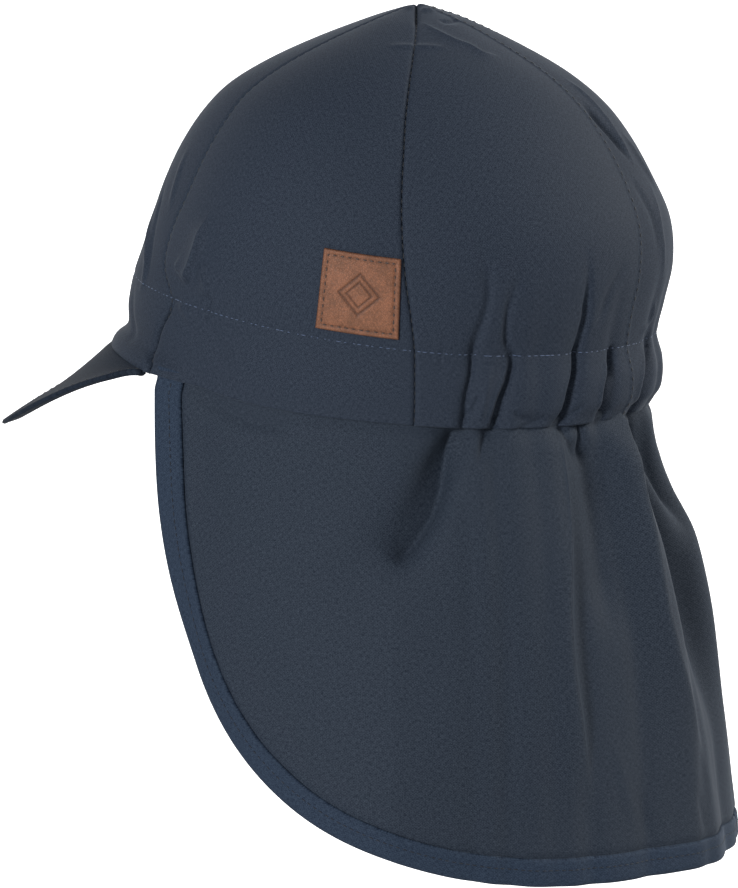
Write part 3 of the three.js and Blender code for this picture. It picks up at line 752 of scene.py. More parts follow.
@dataclass(frozen=True)
class Peak:
    """The peak's form. across runs from -1 to 1 along the rim, out from 0 at the rim to 1 at its edge."""

    crown: Crown
    length: float = 36.0
    half_width: float = 42.0
    taper: float = 1.05
    droop: float = 26.5
    arch: float = 3.0
    twist: float = 4.3
    sag: float = 0.3
    curl: float = 1.45
    corner: float = 0.82
    share: float = 0.985
    thickness: float = 2.2
    edge: float = 0.7
    bevel: float = 0.86
    tuck: float = 1.0
    tuck_out: float = 0.05
    slope_step: float = 0.004

    def base(self, across: Array, out: Array) -> Array:
        """Points of the peak's upper face."""
        across, out = np.broadcast_arrays(np.asarray(across, float), np.asarray(out, float))
        angle = across * self.crown.front_seam
        rim_row = np.zeros_like(angle)
        root = self.crown.base(angle, rim_row)
        corner_y = self.crown.base(np.array([self.crown.front_seam]), np.zeros(1))[0, 1]
        tip_y = self.crown.base(np.zeros(1), np.zeros(1))[0, 1] - self.length
        turn = math.pi / 2 * across
        edge_x = np.sign(across) * self.half_width * np.abs(np.sin(turn)) ** self.taper
        edge_y = mixed(corner_y, tip_y, np.clip(np.cos(turn), 0, 1) ** self.taper)
        forward = np.clip((root[..., 1] - edge_y) / self.length, 0, 1)
        shut = smoothstep(np.abs(across), self.corner, 1)
        x = mixed(root[..., 0], mixed(edge_x, root[..., 0], shut), out)
        y = mixed(root[..., 1], edge_y, out)
        dip = out + self.sag * out * (1 - out)
        droop = self.droop * forward**self.curl * dip
        tilt = math.tan(math.radians(self.twist)) * x - self.arch * (x / self.half_width) ** 2
        return np.stack([x, y, root[..., 2] - droop + tilt * out], -1)

    def surface(self, across: Array, out: Array) -> Array:
        """Points of the dressed peak's upper face, tucked behind the crown's rim at its root."""
        point = self.base(across, out)
        angle = np.broadcast_to(np.asarray(across, float), point.shape[:-1]) * self.crown.front_seam
        tucked = self.tuck * (1 - smoothstep(np.broadcast_to(out, point.shape[:-1]), 0, self.tuck_out))
        return point - self.crown.outward(angle) * tucked[..., None]

    def facing(self, across: Array, out: Array) -> tuple[Array, Array]:
        """Points of the dressed peak and its unit normals there."""
        along, away = slopes(self.surface, across, out, self.slope_step)
        return self.surface(across, out), unit(np.cross(away, along))


def new_object(name: str, points: Array, faces: Sequence[Sequence[int]]) -> bpy.types.Object:
    """A smooth-shaded object from points in millimetres.

    Args:
        name: the object's name.
        points: its points.
        faces: the point numbers of each face, counted to the left seen from outside.

    Returns:
        The new object, linked to the scene.
    """
    mesh = bpy.data.meshes.new(name)
    mesh.from_pydata((points * MM).tolist(), [], faces)
    mesh.shade_smooth()
    made = bpy.data.objects.new(name, mesh)
    bpy.context.scene.collection.objects.link(made)
    return made


def border_loop(rows: int, columns: int) -> Array:
    """Point numbers round a grid's border, to the left seen from outside, the first one not repeated."""
    index = np.arange(rows * columns).reshape(rows, columns)
    return np.concatenate([index[0, :-1], index[:-1, -1], index[-1, :0:-1], index[:0:-1, 0]])


def closed_sheet(
    name: str, outer: Array, inner: Array, cloth: Array, roundness: float = 0.35
) -> bpy.types.Object:
    """A sheet of cloth closed round its edges, which are rounded.

    Args:
        name: the object's name.
        outer: grid of points of the outer face, columns to the right and rows upwards, seen from outside.
        inner: the same places of the inner face.
        cloth: flat cloth coordinates of each place, in millimetres.
        roundness: how far the edge bulges, as a share of the thickness.

    Returns:
        The object, with its cloth coordinates in an attribute that the finishes read.
    """
    rows, columns = outer.shape[:2]
    count = rows * columns
    loop = border_loop(rows, columns)
    flat_outer = outer.reshape(-1, 3)
    flat_inner = inner.reshape(-1, 3)
    row = np.clip(loop // columns, 1, rows - 2)
    column = np.clip(loop % columns, 1, columns - 2)
    inside = row * columns + column
    away = unit(flat_outer[loop] - flat_outer[inside])
    thick = np.linalg.norm(flat_outer[loop] - flat_inner[loop], axis=1, keepdims=True)
    middle = (flat_outer[loop] + flat_inner[loop]) / 2 + away * thick * roundness
    index = np.arange(count).reshape(rows, columns)
    a, b, c, d = index[:-1, :-1], index[:-1, 1:], index[1:, 1:], index[1:, :-1]
    front = np.stack([a, b, c, d], -1).reshape(-1, 4)
    behind = np.stack([a, d, c, b], -1).reshape(-1, 4) + count
    here = 2 * count + np.arange(len(loop))
    there = np.roll(here, -1)
    ahead = np.roll(loop, -1)
    upper = np.stack([here, there, ahead, loop], -1)
    lower = np.stack([loop + count, ahead + count, there, here], -1)
    faces = np.concatenate([front, behind, upper, lower])
    made = new_object(name, np.concatenate([flat_outer, flat_inner, middle]), faces.tolist())
    flat = cloth.reshape(-1, 2)
    places = np.concatenate([flat, flat, flat[loop]])
    spots = np.concatenate([places, np.zeros((len(places), 1))], 1)
    layer = made.data.attributes.new(CLOTH_PLACE, "FLOAT_VECTOR", "POINT")
    layer.data.foreach_set("vector", spots.astype(np.float32).ravel())
    return made


class Thread(NamedTuple):
    """A row of stitches: pitch, visible length and radius of one, and how deep its middle lies in the cloth.

    uneven is the share by which each stitch strays from these.
    """

    pitch: float
    length: float
    radius: float
    sink: float
    uneven: float = 0.12


def stitches(
    name: str, points: Array, normals: Array, thread: Thread, rings: int = 5, sides: int = 6
) -> bpy.types.Object:
    """A row of short stitches along a line on the cloth, joined in one object.

    Args:
        name: the object's name.
        points: the line that they follow.
        normals: the cloth's normals along it.
        thread: their sizes.
        rings: rings of points along each stitch.
        sides: points round each ring.

    Returns:
        The object.
    """
    steps = np.linalg.norm(np.diff(points, axis=0), axis=1)
    way = np.concatenate([[0], np.cumsum(steps)])
    count = max(int(way[-1] / thread.pitch), 1)
    chance = np.random.default_rng(SEED)
    strays = chance.uniform(-thread.uneven, thread.uneven, (3, count))
    middles = (np.arange(count) + 0.5 + strays[0] / 2) * way[-1] / count
    shares = np.linspace(-1, 1, rings)
    turns = np.linspace(0, 2 * math.pi, sides, endpoint=False)
    everything = []
    faces: list[list[int]] = []
    for number, middle in enumerate(middles):
        spots = middle + shares * thread.length * (1 + strays[1, number]) / 2
        line = np.stack([np.interp(spots, way, points[:, k]) for k in range(3)], -1)
        out = unit(np.stack([np.interp(spots, way, normals[:, k]) for k in range(3)], -1))
        ahead = unit(np.gradient(line, axis=0))
        side = unit(np.cross(out, ahead))
        arch = np.sqrt(np.clip(1 - shares**2, 0, 1))
        thick = thread.radius * np.maximum(arch, STITCH_END)
        depth = thread.sink + thread.radius * max(strays[2, number], 0)
        line = line + out * (thread.radius * arch - depth)[:, None]
        ring = line[:, None] + thick[:, None, None] * (
            side[:, None] * np.cos(turns)[None, :, None] + out[:, None] * np.sin(turns)[None, :, None]
        )
        first = number * rings * sides
        everything.append(ring.reshape(-1, 3))
        for j in range(rings - 1):
            for k in range(sides):
                low = first + j * sides
                after = (k + 1) % sides
                faces.append([low + k, low + k + sides, low + after + sides, low + after])
        faces.append([first + k for k in range(sides)])
        top = first + (rings - 1) * sides
        faces.append([top + k for k in reversed(range(sides))])
    return new_object(name, np.concatenate(everything), faces)


def linear(colour: tuple[int, int, int]) -> tuple[float, float, float, float]:
    """Linear light of a display colour given in steps of 0 to 255, by the standard display curve."""
    shares = [step / DISPLAY_STEPS for step in colour]
    light = [c / 12.92 if c <= 0.04045 else ((c + 0.055) / 1.055) ** 2.4 for c in shares]
    return light[0], light[1], light[2], 1.0


class Nodes:
    """The node tree of one material while it is put together."""

    def __init__(self, name: str) -> None:
        """Starts an empty material of that name."""
        self.material = bpy.data.materials.new(name)
        self.material.use_nodes = True
        self.tree = self.material.node_tree
        self.tree.nodes.clear()

    def new(self, kind: str, inputs: dict | None = None, **settings: object) -> bpy.types.Node:
        """Adds a node.

        Args:
            kind: the node's type.
            inputs: values or sockets for its inputs, by name or number.
            settings: the node's own settings.

        Returns:
            The node.
        """
        node = self.tree.nodes.new(kind)
        for name, value in settings.items():
            setattr(node, name, value)
        for key, value in (inputs or {}).items():
            if isinstance(value, bpy.types.NodeSocket):
                self.tree.links.new(value, node.inputs[key])
            else:
                node.inputs[key].default_value = value
        return node

    def math(self, operation: str, first: object, second: object = 0.0) -> bpy.types.NodeSocket:
        """The result of one sum on two numbers or sockets."""
        return self.new("ShaderNodeMath", {0: first, 1: second}, operation=operation).outputs[0]

    def scaled(self, vector: object, scale: tuple[float, float, float]) -> bpy.types.NodeSocket:
        """A vector socket with each of its parts multiplied."""
        return self.new("ShaderNodeVectorMath", {0: vector, 1: scale}, operation="MULTIPLY").outputs[0]

    def noise(
        self, vector: object, scale: float = 1.0, detail: float = 2.0, roughness: float = 0.5
    ) -> bpy.types.NodeSocket:
        """Soft noise between 0 and 1."""
        inputs = {"Vector": vector, "Scale": scale, "Detail": detail, "Roughness": roughness}
        return self.new("ShaderNodeTexNoise", inputs).outputs[0]

    def ramp(
        self, value: object, low: float, high: float, start: float = 0.0, end: float = 1.0
    ) -> bpy.types.NodeSocket:
        """Maps a value between two limits smoothly to start and end."""
        inputs = {"Value": value, "From Min": low, "From Max": high, "To Min": start, "To Max": end}
        return self.new("ShaderNodeMapRange", inputs, interpolation_type="SMOOTHSTEP").outputs["Result"]

    def blend(self, share: object, first: object, second: object) -> bpy.types.NodeSocket:
        """A colour between two others."""
        inputs = {"Factor": share, "A": first, "B": second}
        node = self.new("ShaderNodeMix", None, data_type="RGBA")
        sockets = {"Factor": node.inputs[0], "A": node.inputs[6], "B": node.inputs[7]}
        for key, value in inputs.items():
            if isinstance(value, bpy.types.NodeSocket):
                self.tree.links.new(value, sockets[key])
            else:
                sockets[key].default_value = value
        return node.outputs[2]

    def relief(self, height: object, depth: float, under: object = None) -> bpy.types.NodeSocket:
        """A bumped normal.

        Args:
            height: the relief between 0 and 1.
            depth: its depth in millimetres.
            under: a normal that it lies on.

        Returns:
            The normal's socket.
        """
        inputs = {"Height": height, "Distance": depth * MM, "Strength": 1.0}
        if under is not None:
            inputs["Normal"] = under
        return self.new("ShaderNodeBump", inputs).outputs[0]

    def attribute(self, name: str, output: str) -> bpy.types.NodeSocket:
        """A value that the mesh carries."""
        return self.new("ShaderNodeAttribute", None, attribute_name=name).outputs[output]

    def finish(self, inputs: dict) -> bpy.types.Material:
        """Closes the tree with a surface shader and returns the material."""
        shader = self.new("ShaderNodeBsdfPrincipled", inputs)
        self.new("ShaderNodeOutputMaterial", {"Surface": shader.outputs[0]})
        return self.material


@dataclass(frozen=True)
class ClothFinish:
    """Fine plain-woven cloth with a slight sheen."""

    name: str
    colour: tuple[int, int, int]
    light: tuple[int, int, int]
    roughness: float = 0.78
    yarn: float = 0.42
    weave_depth: float = 0.035
    crumple: float = 0.11
    crumple_size: float = 9.0
    specular: float = 0.16
    sheen: float = 0.11
    sheen_roughness: float = 0.3
    sheen_tint: tuple[int, int, int] = (178, 190, 205)
    slub_fine: float = 3.6
    slub_long: float = 0.9
    slub_depth: float = 0.03
    weave_tone: float = 0.12
    tone_low: float = 0.35
    tone_high: float = 0.77

    def material(self) -> bpy.types.Material:
        """The cloth's material. Its weave follows the cloth's own flat coordinates."""
        nodes = Nodes(self.name)
        place = nodes.attribute(CLOTH_PLACE, "Vector")
        parts = nodes.new("ShaderNodeSeparateXYZ", {0: place})
        turn = math.pi / self.yarn
        warp = nodes.math("SINE", nodes.math("MULTIPLY", parts.outputs[0], turn))
        weft = nodes.math("SINE", nodes.math("MULTIPLY", parts.outputs[1], turn))
        weave = nodes.math("MULTIPLY_ADD", nodes.math("MULTIPLY", warp, weft), 0.5)
        slub_up = nodes.noise(nodes.scaled(place, (self.slub_fine, self.slub_long, 1.0)))
        slub_across = nodes.noise(nodes.scaled(place, (self.slub_long, self.slub_fine, 1.0)))
        slubs = nodes.math("MULTIPLY", nodes.math("ADD", slub_up, slub_across), 0.5)
        crumpled = nodes.scaled(place, (1 / self.crumple_size,) * 2 + (1.0,))
        crumple = nodes.noise(crumpled, detail=3.0, roughness=0.45)
        tone = nodes.math("ADD", slubs, nodes.math("MULTIPLY", weave, self.weave_tone))
        share = nodes.ramp(tone, self.tone_low, self.tone_high)
        colour = nodes.blend(share, linear(self.colour), linear(self.light))
        soft = nodes.relief(crumple, self.crumple)
        ribbed = nodes.relief(slubs, self.slub_depth, soft)
        normal = nodes.relief(weave, self.weave_depth, ribbed)
        inputs = {
            "Base Color": colour,
            "Roughness": self.roughness,
            "Normal": normal,
            "Specular IOR Level": self.specular,
            "Sheen Weight": self.sheen,
            "Sheen Roughness": self.sheen_roughness,
            "Sheen Tint": linear(self.sheen_tint),
        }
        return nodes.finish(inputs)


@dataclass(frozen=True)
class ThreadFinish:
    """Spun sewing thread."""

    name: str
    colour: tuple[int, int, int]
    roughness: float = 0.6
    sheen: float = 0.2
    shade: float = 0.75
    fuzz_scale: float = 2500.0
    fuzz_depth: float = 0.04

    def material(self) -> bpy.types.Material:
        """The thread's material."""
        nodes = Nodes(self.name)
        spot = nodes.new("ShaderNodeTexCoord").outputs["Object"]
        fuzz = nodes.noise(spot, self.fuzz_scale)
        dark = tuple(round(step * self.shade) for step in self.colour)
        inputs = {
            "Base Color": nodes.blend(fuzz, linear(dark), linear(self.colour)),
            "Roughness": self.roughness,
            "Normal": nodes.relief(fuzz, self.fuzz_depth),
            "Sheen Weight": self.sheen,
        }
        return nodes.finish(inputs)


@dataclass(frozen=True)
class LeatherFinish:
    """Matt vegetable-tanned leather with a pressed mark."""

    name: str
    colour: tuple[int, int, int]
    dark: tuple[int, int, int]
    pressed: tuple[int, int, int]
    roughness: float = 0.58
    specular: float = 0.35
    cloud_scale: float = 0.16
    cloud_share: float = 0.6
    speck_scale: float = 1.3
    speck_depth: float = 0.05
    cell_scale: float = 1.5
    cell_edge: float = 0.22
    cell_dark: float = 0.28
    cell_depth: float = 0.05
    mottle_low: float = 0.36
    mottle_high: float = 0.64

    def material(self) -> bpy.types.Material:
        """The leather's material. A mesh attribute says how far each place is pressed or rubbed dark."""
        nodes = Nodes(self.name)
        place = nodes.attribute(CLOTH_PLACE, "Vector")
        clouded = nodes.scaled(place, (self.cloud_scale, self.cloud_scale, 1.0))
        cloud = nodes.noise(clouded, detail=4.0, roughness=0.62)
        specked = nodes.scaled(place, (self.speck_scale, self.speck_scale, 1.0))
        speck = nodes.noise(specked, detail=3.0, roughness=0.6)
        cell_inputs = {"Vector": place, "Scale": self.cell_scale}
        cells = nodes.new("ShaderNodeTexVoronoi", cell_inputs, feature="DISTANCE_TO_EDGE")
        grain = nodes.ramp(cells.outputs["Distance"], 0.0, self.cell_edge)
        clouds = nodes.math("MULTIPLY", cloud, self.cloud_share)
        specks = nodes.math("MULTIPLY", speck, 1 - self.cloud_share)
        mottle = nodes.math("ADD", clouds, specks)
        share = nodes.ramp(mottle, self.mottle_low, self.mottle_high)
        worn = nodes.blend(share, linear(self.dark), linear(self.colour))
        creased = nodes.blend(nodes.ramp(grain, 0.0, 1.0, self.cell_dark, 0.0), worn, linear(self.pressed))
        press = nodes.attribute(PRESS, "Fac")
        rough = nodes.relief(speck, self.speck_depth)
        inputs = {
            "Base Color": nodes.blend(press, creased, linear(self.pressed)),
            "Roughness": self.roughness,
            "Normal": nodes.relief(grain, self.cell_depth, rough),
            "Specular IOR Level": self.specular,
        }
        return nodes.finish(inputs)


class Slot(Enum):
    """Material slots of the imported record."""

    CROWN = "crown_cloth"
    PEAK = "peak_cloth"
    FLAP = "flap_cloth"
    HEM = "hem_cloth"
    PATCH = "patch_leather"


def settle(
    made: bpy.types.Object, material: bpy.types.Material, nodes: Sequence[str] = ()
) -> bpy.types.Object:
    """Dresses a piece and puts it on the cap's body.

    Args:
        made: the piece.
        material: its finish.
        nodes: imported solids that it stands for.

    Returns:
        The piece.
    """
    made.data.materials.append(material)
    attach(made, ROOT)
    if nodes:
        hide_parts(*nodes)
    LOG.info("%s: %d faces", made.name, len(made.data.polygons))
    return made


@dataclass(frozen=True)
class Threads:
    """The sewing threads' sizes."""

    band: Thread = Thread(2.3, 1.3, 0.13, 0.06, 0.6)
    seam: Thread = Thread(2.9, 1.6, 0.15, 0.06)
    hem: Thread = Thread(2.3, 1.6, 0.15, 0.07)
    patch: Thread = Thread(2.3, 1.5, 0.24, 0.16)


@dataclass(frozen=True)
class CrownPieces:
    """The six panels of the crown, the band's stitch line and the seams' threads."""

    crown: Crown
    wall: float = 0.9
    gap: float = 0.1
    spacings: tuple[float, ...] = (0.95, 0.72, 0.58, 0.85, 1.3, 1.3)
    apex_opening: float = 0.5
    height_samples: int = 900
    seam_samples: int = 160
    seam_start: float = 0.05
    seam_stop: float = 1.6
    band_samples: int = 1081
    names: tuple[str, ...] = (
        "front_panel",
        "left_front_panel",
        "left_back_panel",
        "back_panel",
        "right_back_panel",
        "right_front_panel",
    )

    def levels(self, spacing: float) -> Array:
        """Levels from the rim to the apex, evenly spaced along the cloth."""
        fine = np.linspace(0, len(CROWN_ROWS) - 1, self.height_samples)
        line = self.crown.base(np.full(len(fine), self.crown.side_seam / 2), fine)
        away = np.hypot(line[:, 0], line[:, 1] - self.crown.apex_shift)
        kept = away > self.apex_opening
        fine = fine[kept]
        way = np.concatenate([[0], np.cumsum(np.linalg.norm(np.diff(line[kept], axis=0), axis=1))])
        count = int(way[-1] / spacing)
        return np.interp(np.linspace(0, way[-1], count + 1), way, fine)

    def panel(self, line: int, material: bpy.types.Material) -> bpy.types.Object:
        """One panel, from seam to seam and from the rim to the apex."""
        spacing = self.spacings[line]
        levels = self.levels(spacing)[:, None]
        start = self.crown.seam_angle(line, levels)
        end = self.crown.seam_angle(line + 1, levels)
        middle = (start + end) / 2
        along, _ = slopes(self.crown.base, middle, levels, self.crown.slope_step)
        reach = np.linalg.norm(along, axis=-1)
        widest = float(((end - start) * reach).max())
        share = np.linspace(0, 1, int(widest / spacing) + 1)[None]
        inset = np.minimum(self.gap / 2 / np.maximum(reach, 1e-3), (end - start) / 4)
        angle = mixed(start + inset, end - inset, share)
        outer = self.crown.surface(angle, np.broadcast_to(levels, angle.shape))
        normal = grid_normals(outer)
        normal[0] = unit(normal[0] * np.array([1.0, 1.0, 0.0]))
        inner = outer - normal * self.wall
        width = (share - 0.5) * (end - start) * reach
        height = np.broadcast_to(np.arange(len(levels))[:, None] * spacing, angle.shape)
        cloth = np.stack([width, height], -1)
        made = closed_sheet("cloth_" + self.names[line], outer, inner, cloth)
        return settle(made, material, [self.names[line]])

    def seam_line(self, line: int) -> tuple[Array, Array]:
        """Points and normals along one seam, from just over the rim to just under the apex."""
        levels = np.linspace(self.seam_start, len(CROWN_ROWS) - self.seam_stop, self.seam_samples)
        angles = self.crown.seam_angle(line, levels)
        points = self.crown.surface(angles, levels)
        flat = self.crown.outward(angles)
        ahead = unit(np.gradient(points, axis=0))
        normals = unit(flat - ahead * (flat * ahead).sum(-1, keepdims=True))
        return points, normals

    def build(self, cloth: bpy.types.Material, pale: bpy.types.Material, dark: bpy.types.Material) -> None:
        """Makes the panels and the threads."""
        for line in range(len(self.names)):
            self.panel(line, cloth)
        threads = Threads()
        angles = np.linspace(0, 360, self.band_samples)
        band_level = np.full(len(angles), float(self.band_row()))
        points, normals = self.crown.facing(angles, band_level)
        settle(stitches("band_stitches", points, normals, threads.band), pale)
        seam_names = ("right_front", "left_front", "left_side", "left_back", "right_back", "right_side")
        for line, name in enumerate(seam_names):
            points, normals = self.seam_line(line)
            settle(stitches(name + "_seam_stitches", points, normals, threads.seam), dark)

    def band_row(self) -> int:
        """Number of the row on the stitch line."""
        return next(k for k, row in enumerate(CROWN_ROWS) if row.rise == 0)


@dataclass(frozen=True)
class FlapPieces:
    """The neck flap, the strip folded round its free edge and the strip's stitches."""

    flap: Flap
    left_columns: int = 296
    right_columns: int = 118
    rows: int = 116
    corner: float = 0.006
    hem_width: float = 8.2
    hem_lift: float = 0.42
    hem_columns: int = 620
    hem_rows: int = 9
    inside: float = 1.2
    stitch_inset: float = 3.2
    dip: float = 0.8
    dip_width: float = 0.8
    behind_rim: float = 3.0
    strip_behind_rim: float = 2.5
    fold_round: float = 0.35
    strip_round: float = 0.12
    edge_samples: int = 500
    stitch_samples: int = 1200
    stitch_end: float = 0.004

    def inside_hem(self, along: Array, drop: Array) -> Array:
        """How far each flat place of the cloth lies from the free edge."""
        samples = self.edge_samples
        edge = self.flap.free_edge(np.linspace(0, 1, samples), np.zeros(samples))
        spots = np.stack([np.abs(along).ravel(), drop.ravel()], -1)
        nearest = np.full(len(spots), np.inf)
        for point in edge:
            nearest = np.minimum(nearest, ((spots - point) ** 2).sum(-1))
        return np.sqrt(nearest).reshape(along.shape)

    def cloth(self, material: bpy.types.Material) -> bpy.types.Object:
        """The hung cloth."""
        flap = self.flap
        left = np.linspace(self.corner, 1, self.left_columns + 1)
        right = np.linspace(1, 2 - self.corner, self.right_columns + 1)
        turn = np.concatenate([left, right[1:]])
        half = np.where(turn <= 1, turn, 2 - turn)
        side = np.where(turn <= 1, 1.0, -1.0)
        foot = flap.free_edge(half, np.full(len(half), self.inside))
        head = flap.rim_length() * (1 - half)
        up = np.linspace(0, 1, self.rows + 1)[:, None]
        along = mixed(foot[:, 0], head, up) * side
        drop = mixed(foot[:, 1], np.zeros(len(half)), up)
        outer = flap.surface(along, drop)
        beside = self.inside_hem(along, drop) - self.hem_width - self.dip_width / 2
        sunk = self.dip * bump(beside, self.dip_width)
        outer = outer - grid_normals(outer) * sunk[..., None]
        lifted = outer[-1:] + np.array([0.0, 0.0, self.behind_rim])
        outer = np.concatenate([outer, lifted])
        normal = grid_normals(outer)
        normal[-2:] = unit(normal[-2:] * np.array([1.0, 1.0, 0.0]))
        inner = outer - normal * flap.wall
        flat = np.stack([along, drop], -1)
        flat = np.concatenate([flat, flat[-1:] - np.array([0.0, self.behind_rim])])
        made = closed_sheet("cloth_neck_flap", outer, inner, flat)
        return settle(made, material, ["neck_flap"])

    def hem_places(self, turn: Array, moved: Array) -> tuple[Array, Array]:
        """Flat places of the strip: turn runs round the edge from 0 to 2, moved inwards from the edge."""
        half = np.where(turn <= 1, turn, 2 - turn)
        place = self.flap.free_edge(half, moved)
        return place[..., 0] * np.where(turn <= 1, 1.0, -1.0), place[..., 1]

    def hem(self, material: bpy.types.Material) -> bpy.types.Object:
        """The strip, thicker than the cloth and standing proud of it on both faces."""
        turn = np.linspace(0, 2, self.hem_columns + 1)[None]
        moved = np.linspace(0, self.hem_width, self.hem_rows + 1)[:, None]
        turn, moved = np.broadcast_arrays(turn, moved)
        along, drop = self.hem_places(turn, moved)
        face = self.flap.surface(along, drop)
        normal = grid_normals(face)
        folded = np.where(moved == 0, self.fold_round, 0.0)
        rounded = folded + np.where(moved == self.hem_width, self.strip_round, 0.0)
        outer = face + normal * (self.hem_lift - rounded)[..., None]
        inner = face - normal * (self.flap.wall + self.hem_lift - rounded)[..., None]
        raised = np.array([0.0, 0.0, self.strip_behind_rim])
        ends = []
        for grid in (outer, inner):
            ends.append(np.concatenate([grid[:, :1] + raised, grid, grid[:, -1:] + raised], axis=1))
        way = np.linspace(0, 2 * self.flap.edge_length(), self.hem_columns + 3)[None]
        across = np.linspace(0, self.hem_width, self.hem_rows + 1)[:, None]
        flat = np.stack(np.broadcast_arrays(way, across), -1)
        made = closed_sheet("cloth_flap_hem", ends[0], ends[1], flat)
        return settle(made, material, ["flap_hem"])

    def hem_stitches(self, material: bpy.types.Material) -> bpy.types.Object:
        """The row of stitches that holds the strip."""
        turn = np.linspace(self.stitch_end, 2 - self.stitch_end, self.stitch_samples)
        along, drop = self.hem_places(turn, np.full(len(turn), self.hem_width - self.stitch_inset))
        points, normals = self.flap.facing(along, drop)
        sewn = stitches("hem_stitches", points + normals * self.hem_lift, normals, Threads().hem)
        return settle(sewn, material)

    def build(self, cloth: bpy.types.Material, strip: bpy.types.Material, thread: bpy.types.Material) -> None:
        sheet = self.cloth(cloth)
        hem = self.hem(strip)
        sewn = self.hem_stitches(thread)


@dataclass(frozen=True)
class PeakPieces:
    """The peak and its topstitching."""

    peak: Peak
    columns: int = 110
    rows: int = 52
    edge_round: float = 0.45
    stitch_inset: float = 2.6
    stitch_samples: int = 400
    least_depth: float = 1.6

    def body(self, material: bpy.types.Material) -> bpy.types.Object:
        """The peak itself, two layers of cloth over a thin sheet."""
        peak = self.peak
        across = np.linspace(-peak.share, peak.share, self.columns + 1)[None]
        out = np.linspace(1, 0, self.rows + 1)[:, None]
        across, out = np.broadcast_arrays(across, out)
        outer = peak.surface(across, out)
        normal = grid_normals(outer)
        thin = mixed(1.0, peak.edge, smoothstep(out, peak.bevel, 1))
        inner = outer - normal * (peak.thickness * thin)[..., None]
        made = closed_sheet("cloth_peak", outer, inner, outer[..., :2], self.edge_round)
        return settle(made, material, ["peak"])

    def topstitch(self, material: bpy.types.Material) -> bpy.types.Object:
        """The row of stitches inside the free edge."""
        peak = self.peak
        across = np.linspace(-peak.share, peak.share, self.stitch_samples)
        root = peak.surface(across, np.zeros_like(across))
        edge = peak.surface(across, np.ones_like(across))
        depth = np.linalg.norm(edge - root, axis=-1)
        out = 1 - self.stitch_inset / np.maximum(depth, self.stitch_inset * self.least_depth)
        points, normals = peak.facing(across, out)
        return settle(stitches("peak_stitches", points, normals, Threads().seam), material)

    def build(self, cloth: bpy.types.Material, thread: bpy.types.Material) -> None:
        """Makes the peak and its stitches."""
        self.body(cloth)
        self.topstitch(thread)


@dataclass(frozen=True)
class PatchPieces:
    """The square leather patch, its pressed diamond and its stitches."""

    crown: Crown
    side: float = 25.0
    thickness: float = 1.0
    rise: float = 16.0
    setback: float = 4.0
    lift: float = 0.15
    cells: int = 110
    stitch_inset: float = 1.5
    diamond: float = 6.4
    inner_diamond: float = 0.62
    line: float = 0.42
    inner_line: float = 0.7
    press_depth: float = 0.3
    press_dark: float = 0.75
    stitch_dent: float = 0.22
    dent_width: float = 0.55
    dent_dark: float = 0.3
    edge_round: float = 0.5
    edge_drop: float = 0.18
    edge_dark: float = 0.45
    side_dark: float = 0.55
    side_samples: int = 60

    def place(self, x: Array, y: Array) -> tuple[Array, Array]:
        """Angle and level of the crown under a place of the patch, whose middle is the origin."""
        seam = self.crown.side_seam
        level = self.crown.level_at(np.array([seam]), np.array([self.rise]))
        near = self.crown.base(np.array([seam]), level)
        far = self.crown.base(np.array([seam - 1.0]), level)
        degree = float(np.linalg.norm(near - far))
        before = self.setback + self.side / 2 - x
        angle = seam - before / degree
        return angle, self.crown.level_at(angle, self.rise + y)

    def body(self, material: bpy.types.Material) -> bpy.types.Object:
        """The leather square."""
        spots = np.linspace(-self.side / 2, self.side / 2, self.cells + 1)
        x, y = np.meshgrid(spots, spots)
        angle, level = self.place(x, y)
        face = self.crown.base(angle, level)
        normal = grid_normals(face)
        ring = np.abs(np.abs(x) + np.abs(y) - self.diamond) / math.sqrt(2)
        inner_ring = np.abs(np.abs(x) + np.abs(y) - self.diamond * self.inner_diamond) / math.sqrt(2)
        pressed = np.maximum(bump(ring, self.line), bump(inner_ring, self.line * self.inner_line))
        margin = self.side / 2 - np.maximum(np.abs(x), np.abs(y))
        sewn = bump(margin - self.stitch_inset, self.dent_width)
        edge = 1 - smoothstep(margin, 0, self.edge_round)
        top = self.lift + self.thickness - self.press_depth * pressed - self.stitch_dent * sewn
        top = top - self.edge_drop * edge
        outer = face + normal * top[..., None]
        inner = face + normal * self.lift
        made = closed_sheet("leather_square", outer, inner, np.stack([x, y], -1))
        layer = made.data.attributes.new(PRESS, "FLOAT", "POINT")
        worn = self.press_dark * pressed + self.dent_dark * sewn + self.edge_dark * edge
        dark = np.clip(worn, 0, 1).ravel()
        border = np.full(len(made.data.vertices) - 2 * dark.size, self.side_dark)
        layer.data.foreach_set("value", np.concatenate([dark, dark, border]).astype(np.float32))
        return settle(made, material, ["leather_patch"])

    def sewing(self, material: bpy.types.Material) -> bpy.types.Object:
        """The stitches round the edge."""
        reach = self.side / 2 - self.stitch_inset
        corners = np.array([[-1, -1], [1, -1], [1, 1], [-1, 1], [-1, -1]]) * reach
        sides = zip(corners[:-1], corners[1:])
        spots = np.concatenate([np.linspace(start, end, self.side_samples) for start, end in sides])
        angle, level = self.place(spots[:, 0], spots[:, 1])
        along, up = slopes(self.crown.base, angle, level, self.crown.slope_step)
        normal = unit(np.cross(along, up))
        face = self.crown.base(angle, level) + normal * (self.lift + self.thickness - self.stitch_dent)
        return settle(stitches("patch_stitches", face, normal, Threads().patch), material)

    def build(self, leather: bpy.types.Material, thread: bpy.types.Material) -> None:
        """Makes the patch and its stitches."""
        self.body(leather)
        self.sewing(thread)


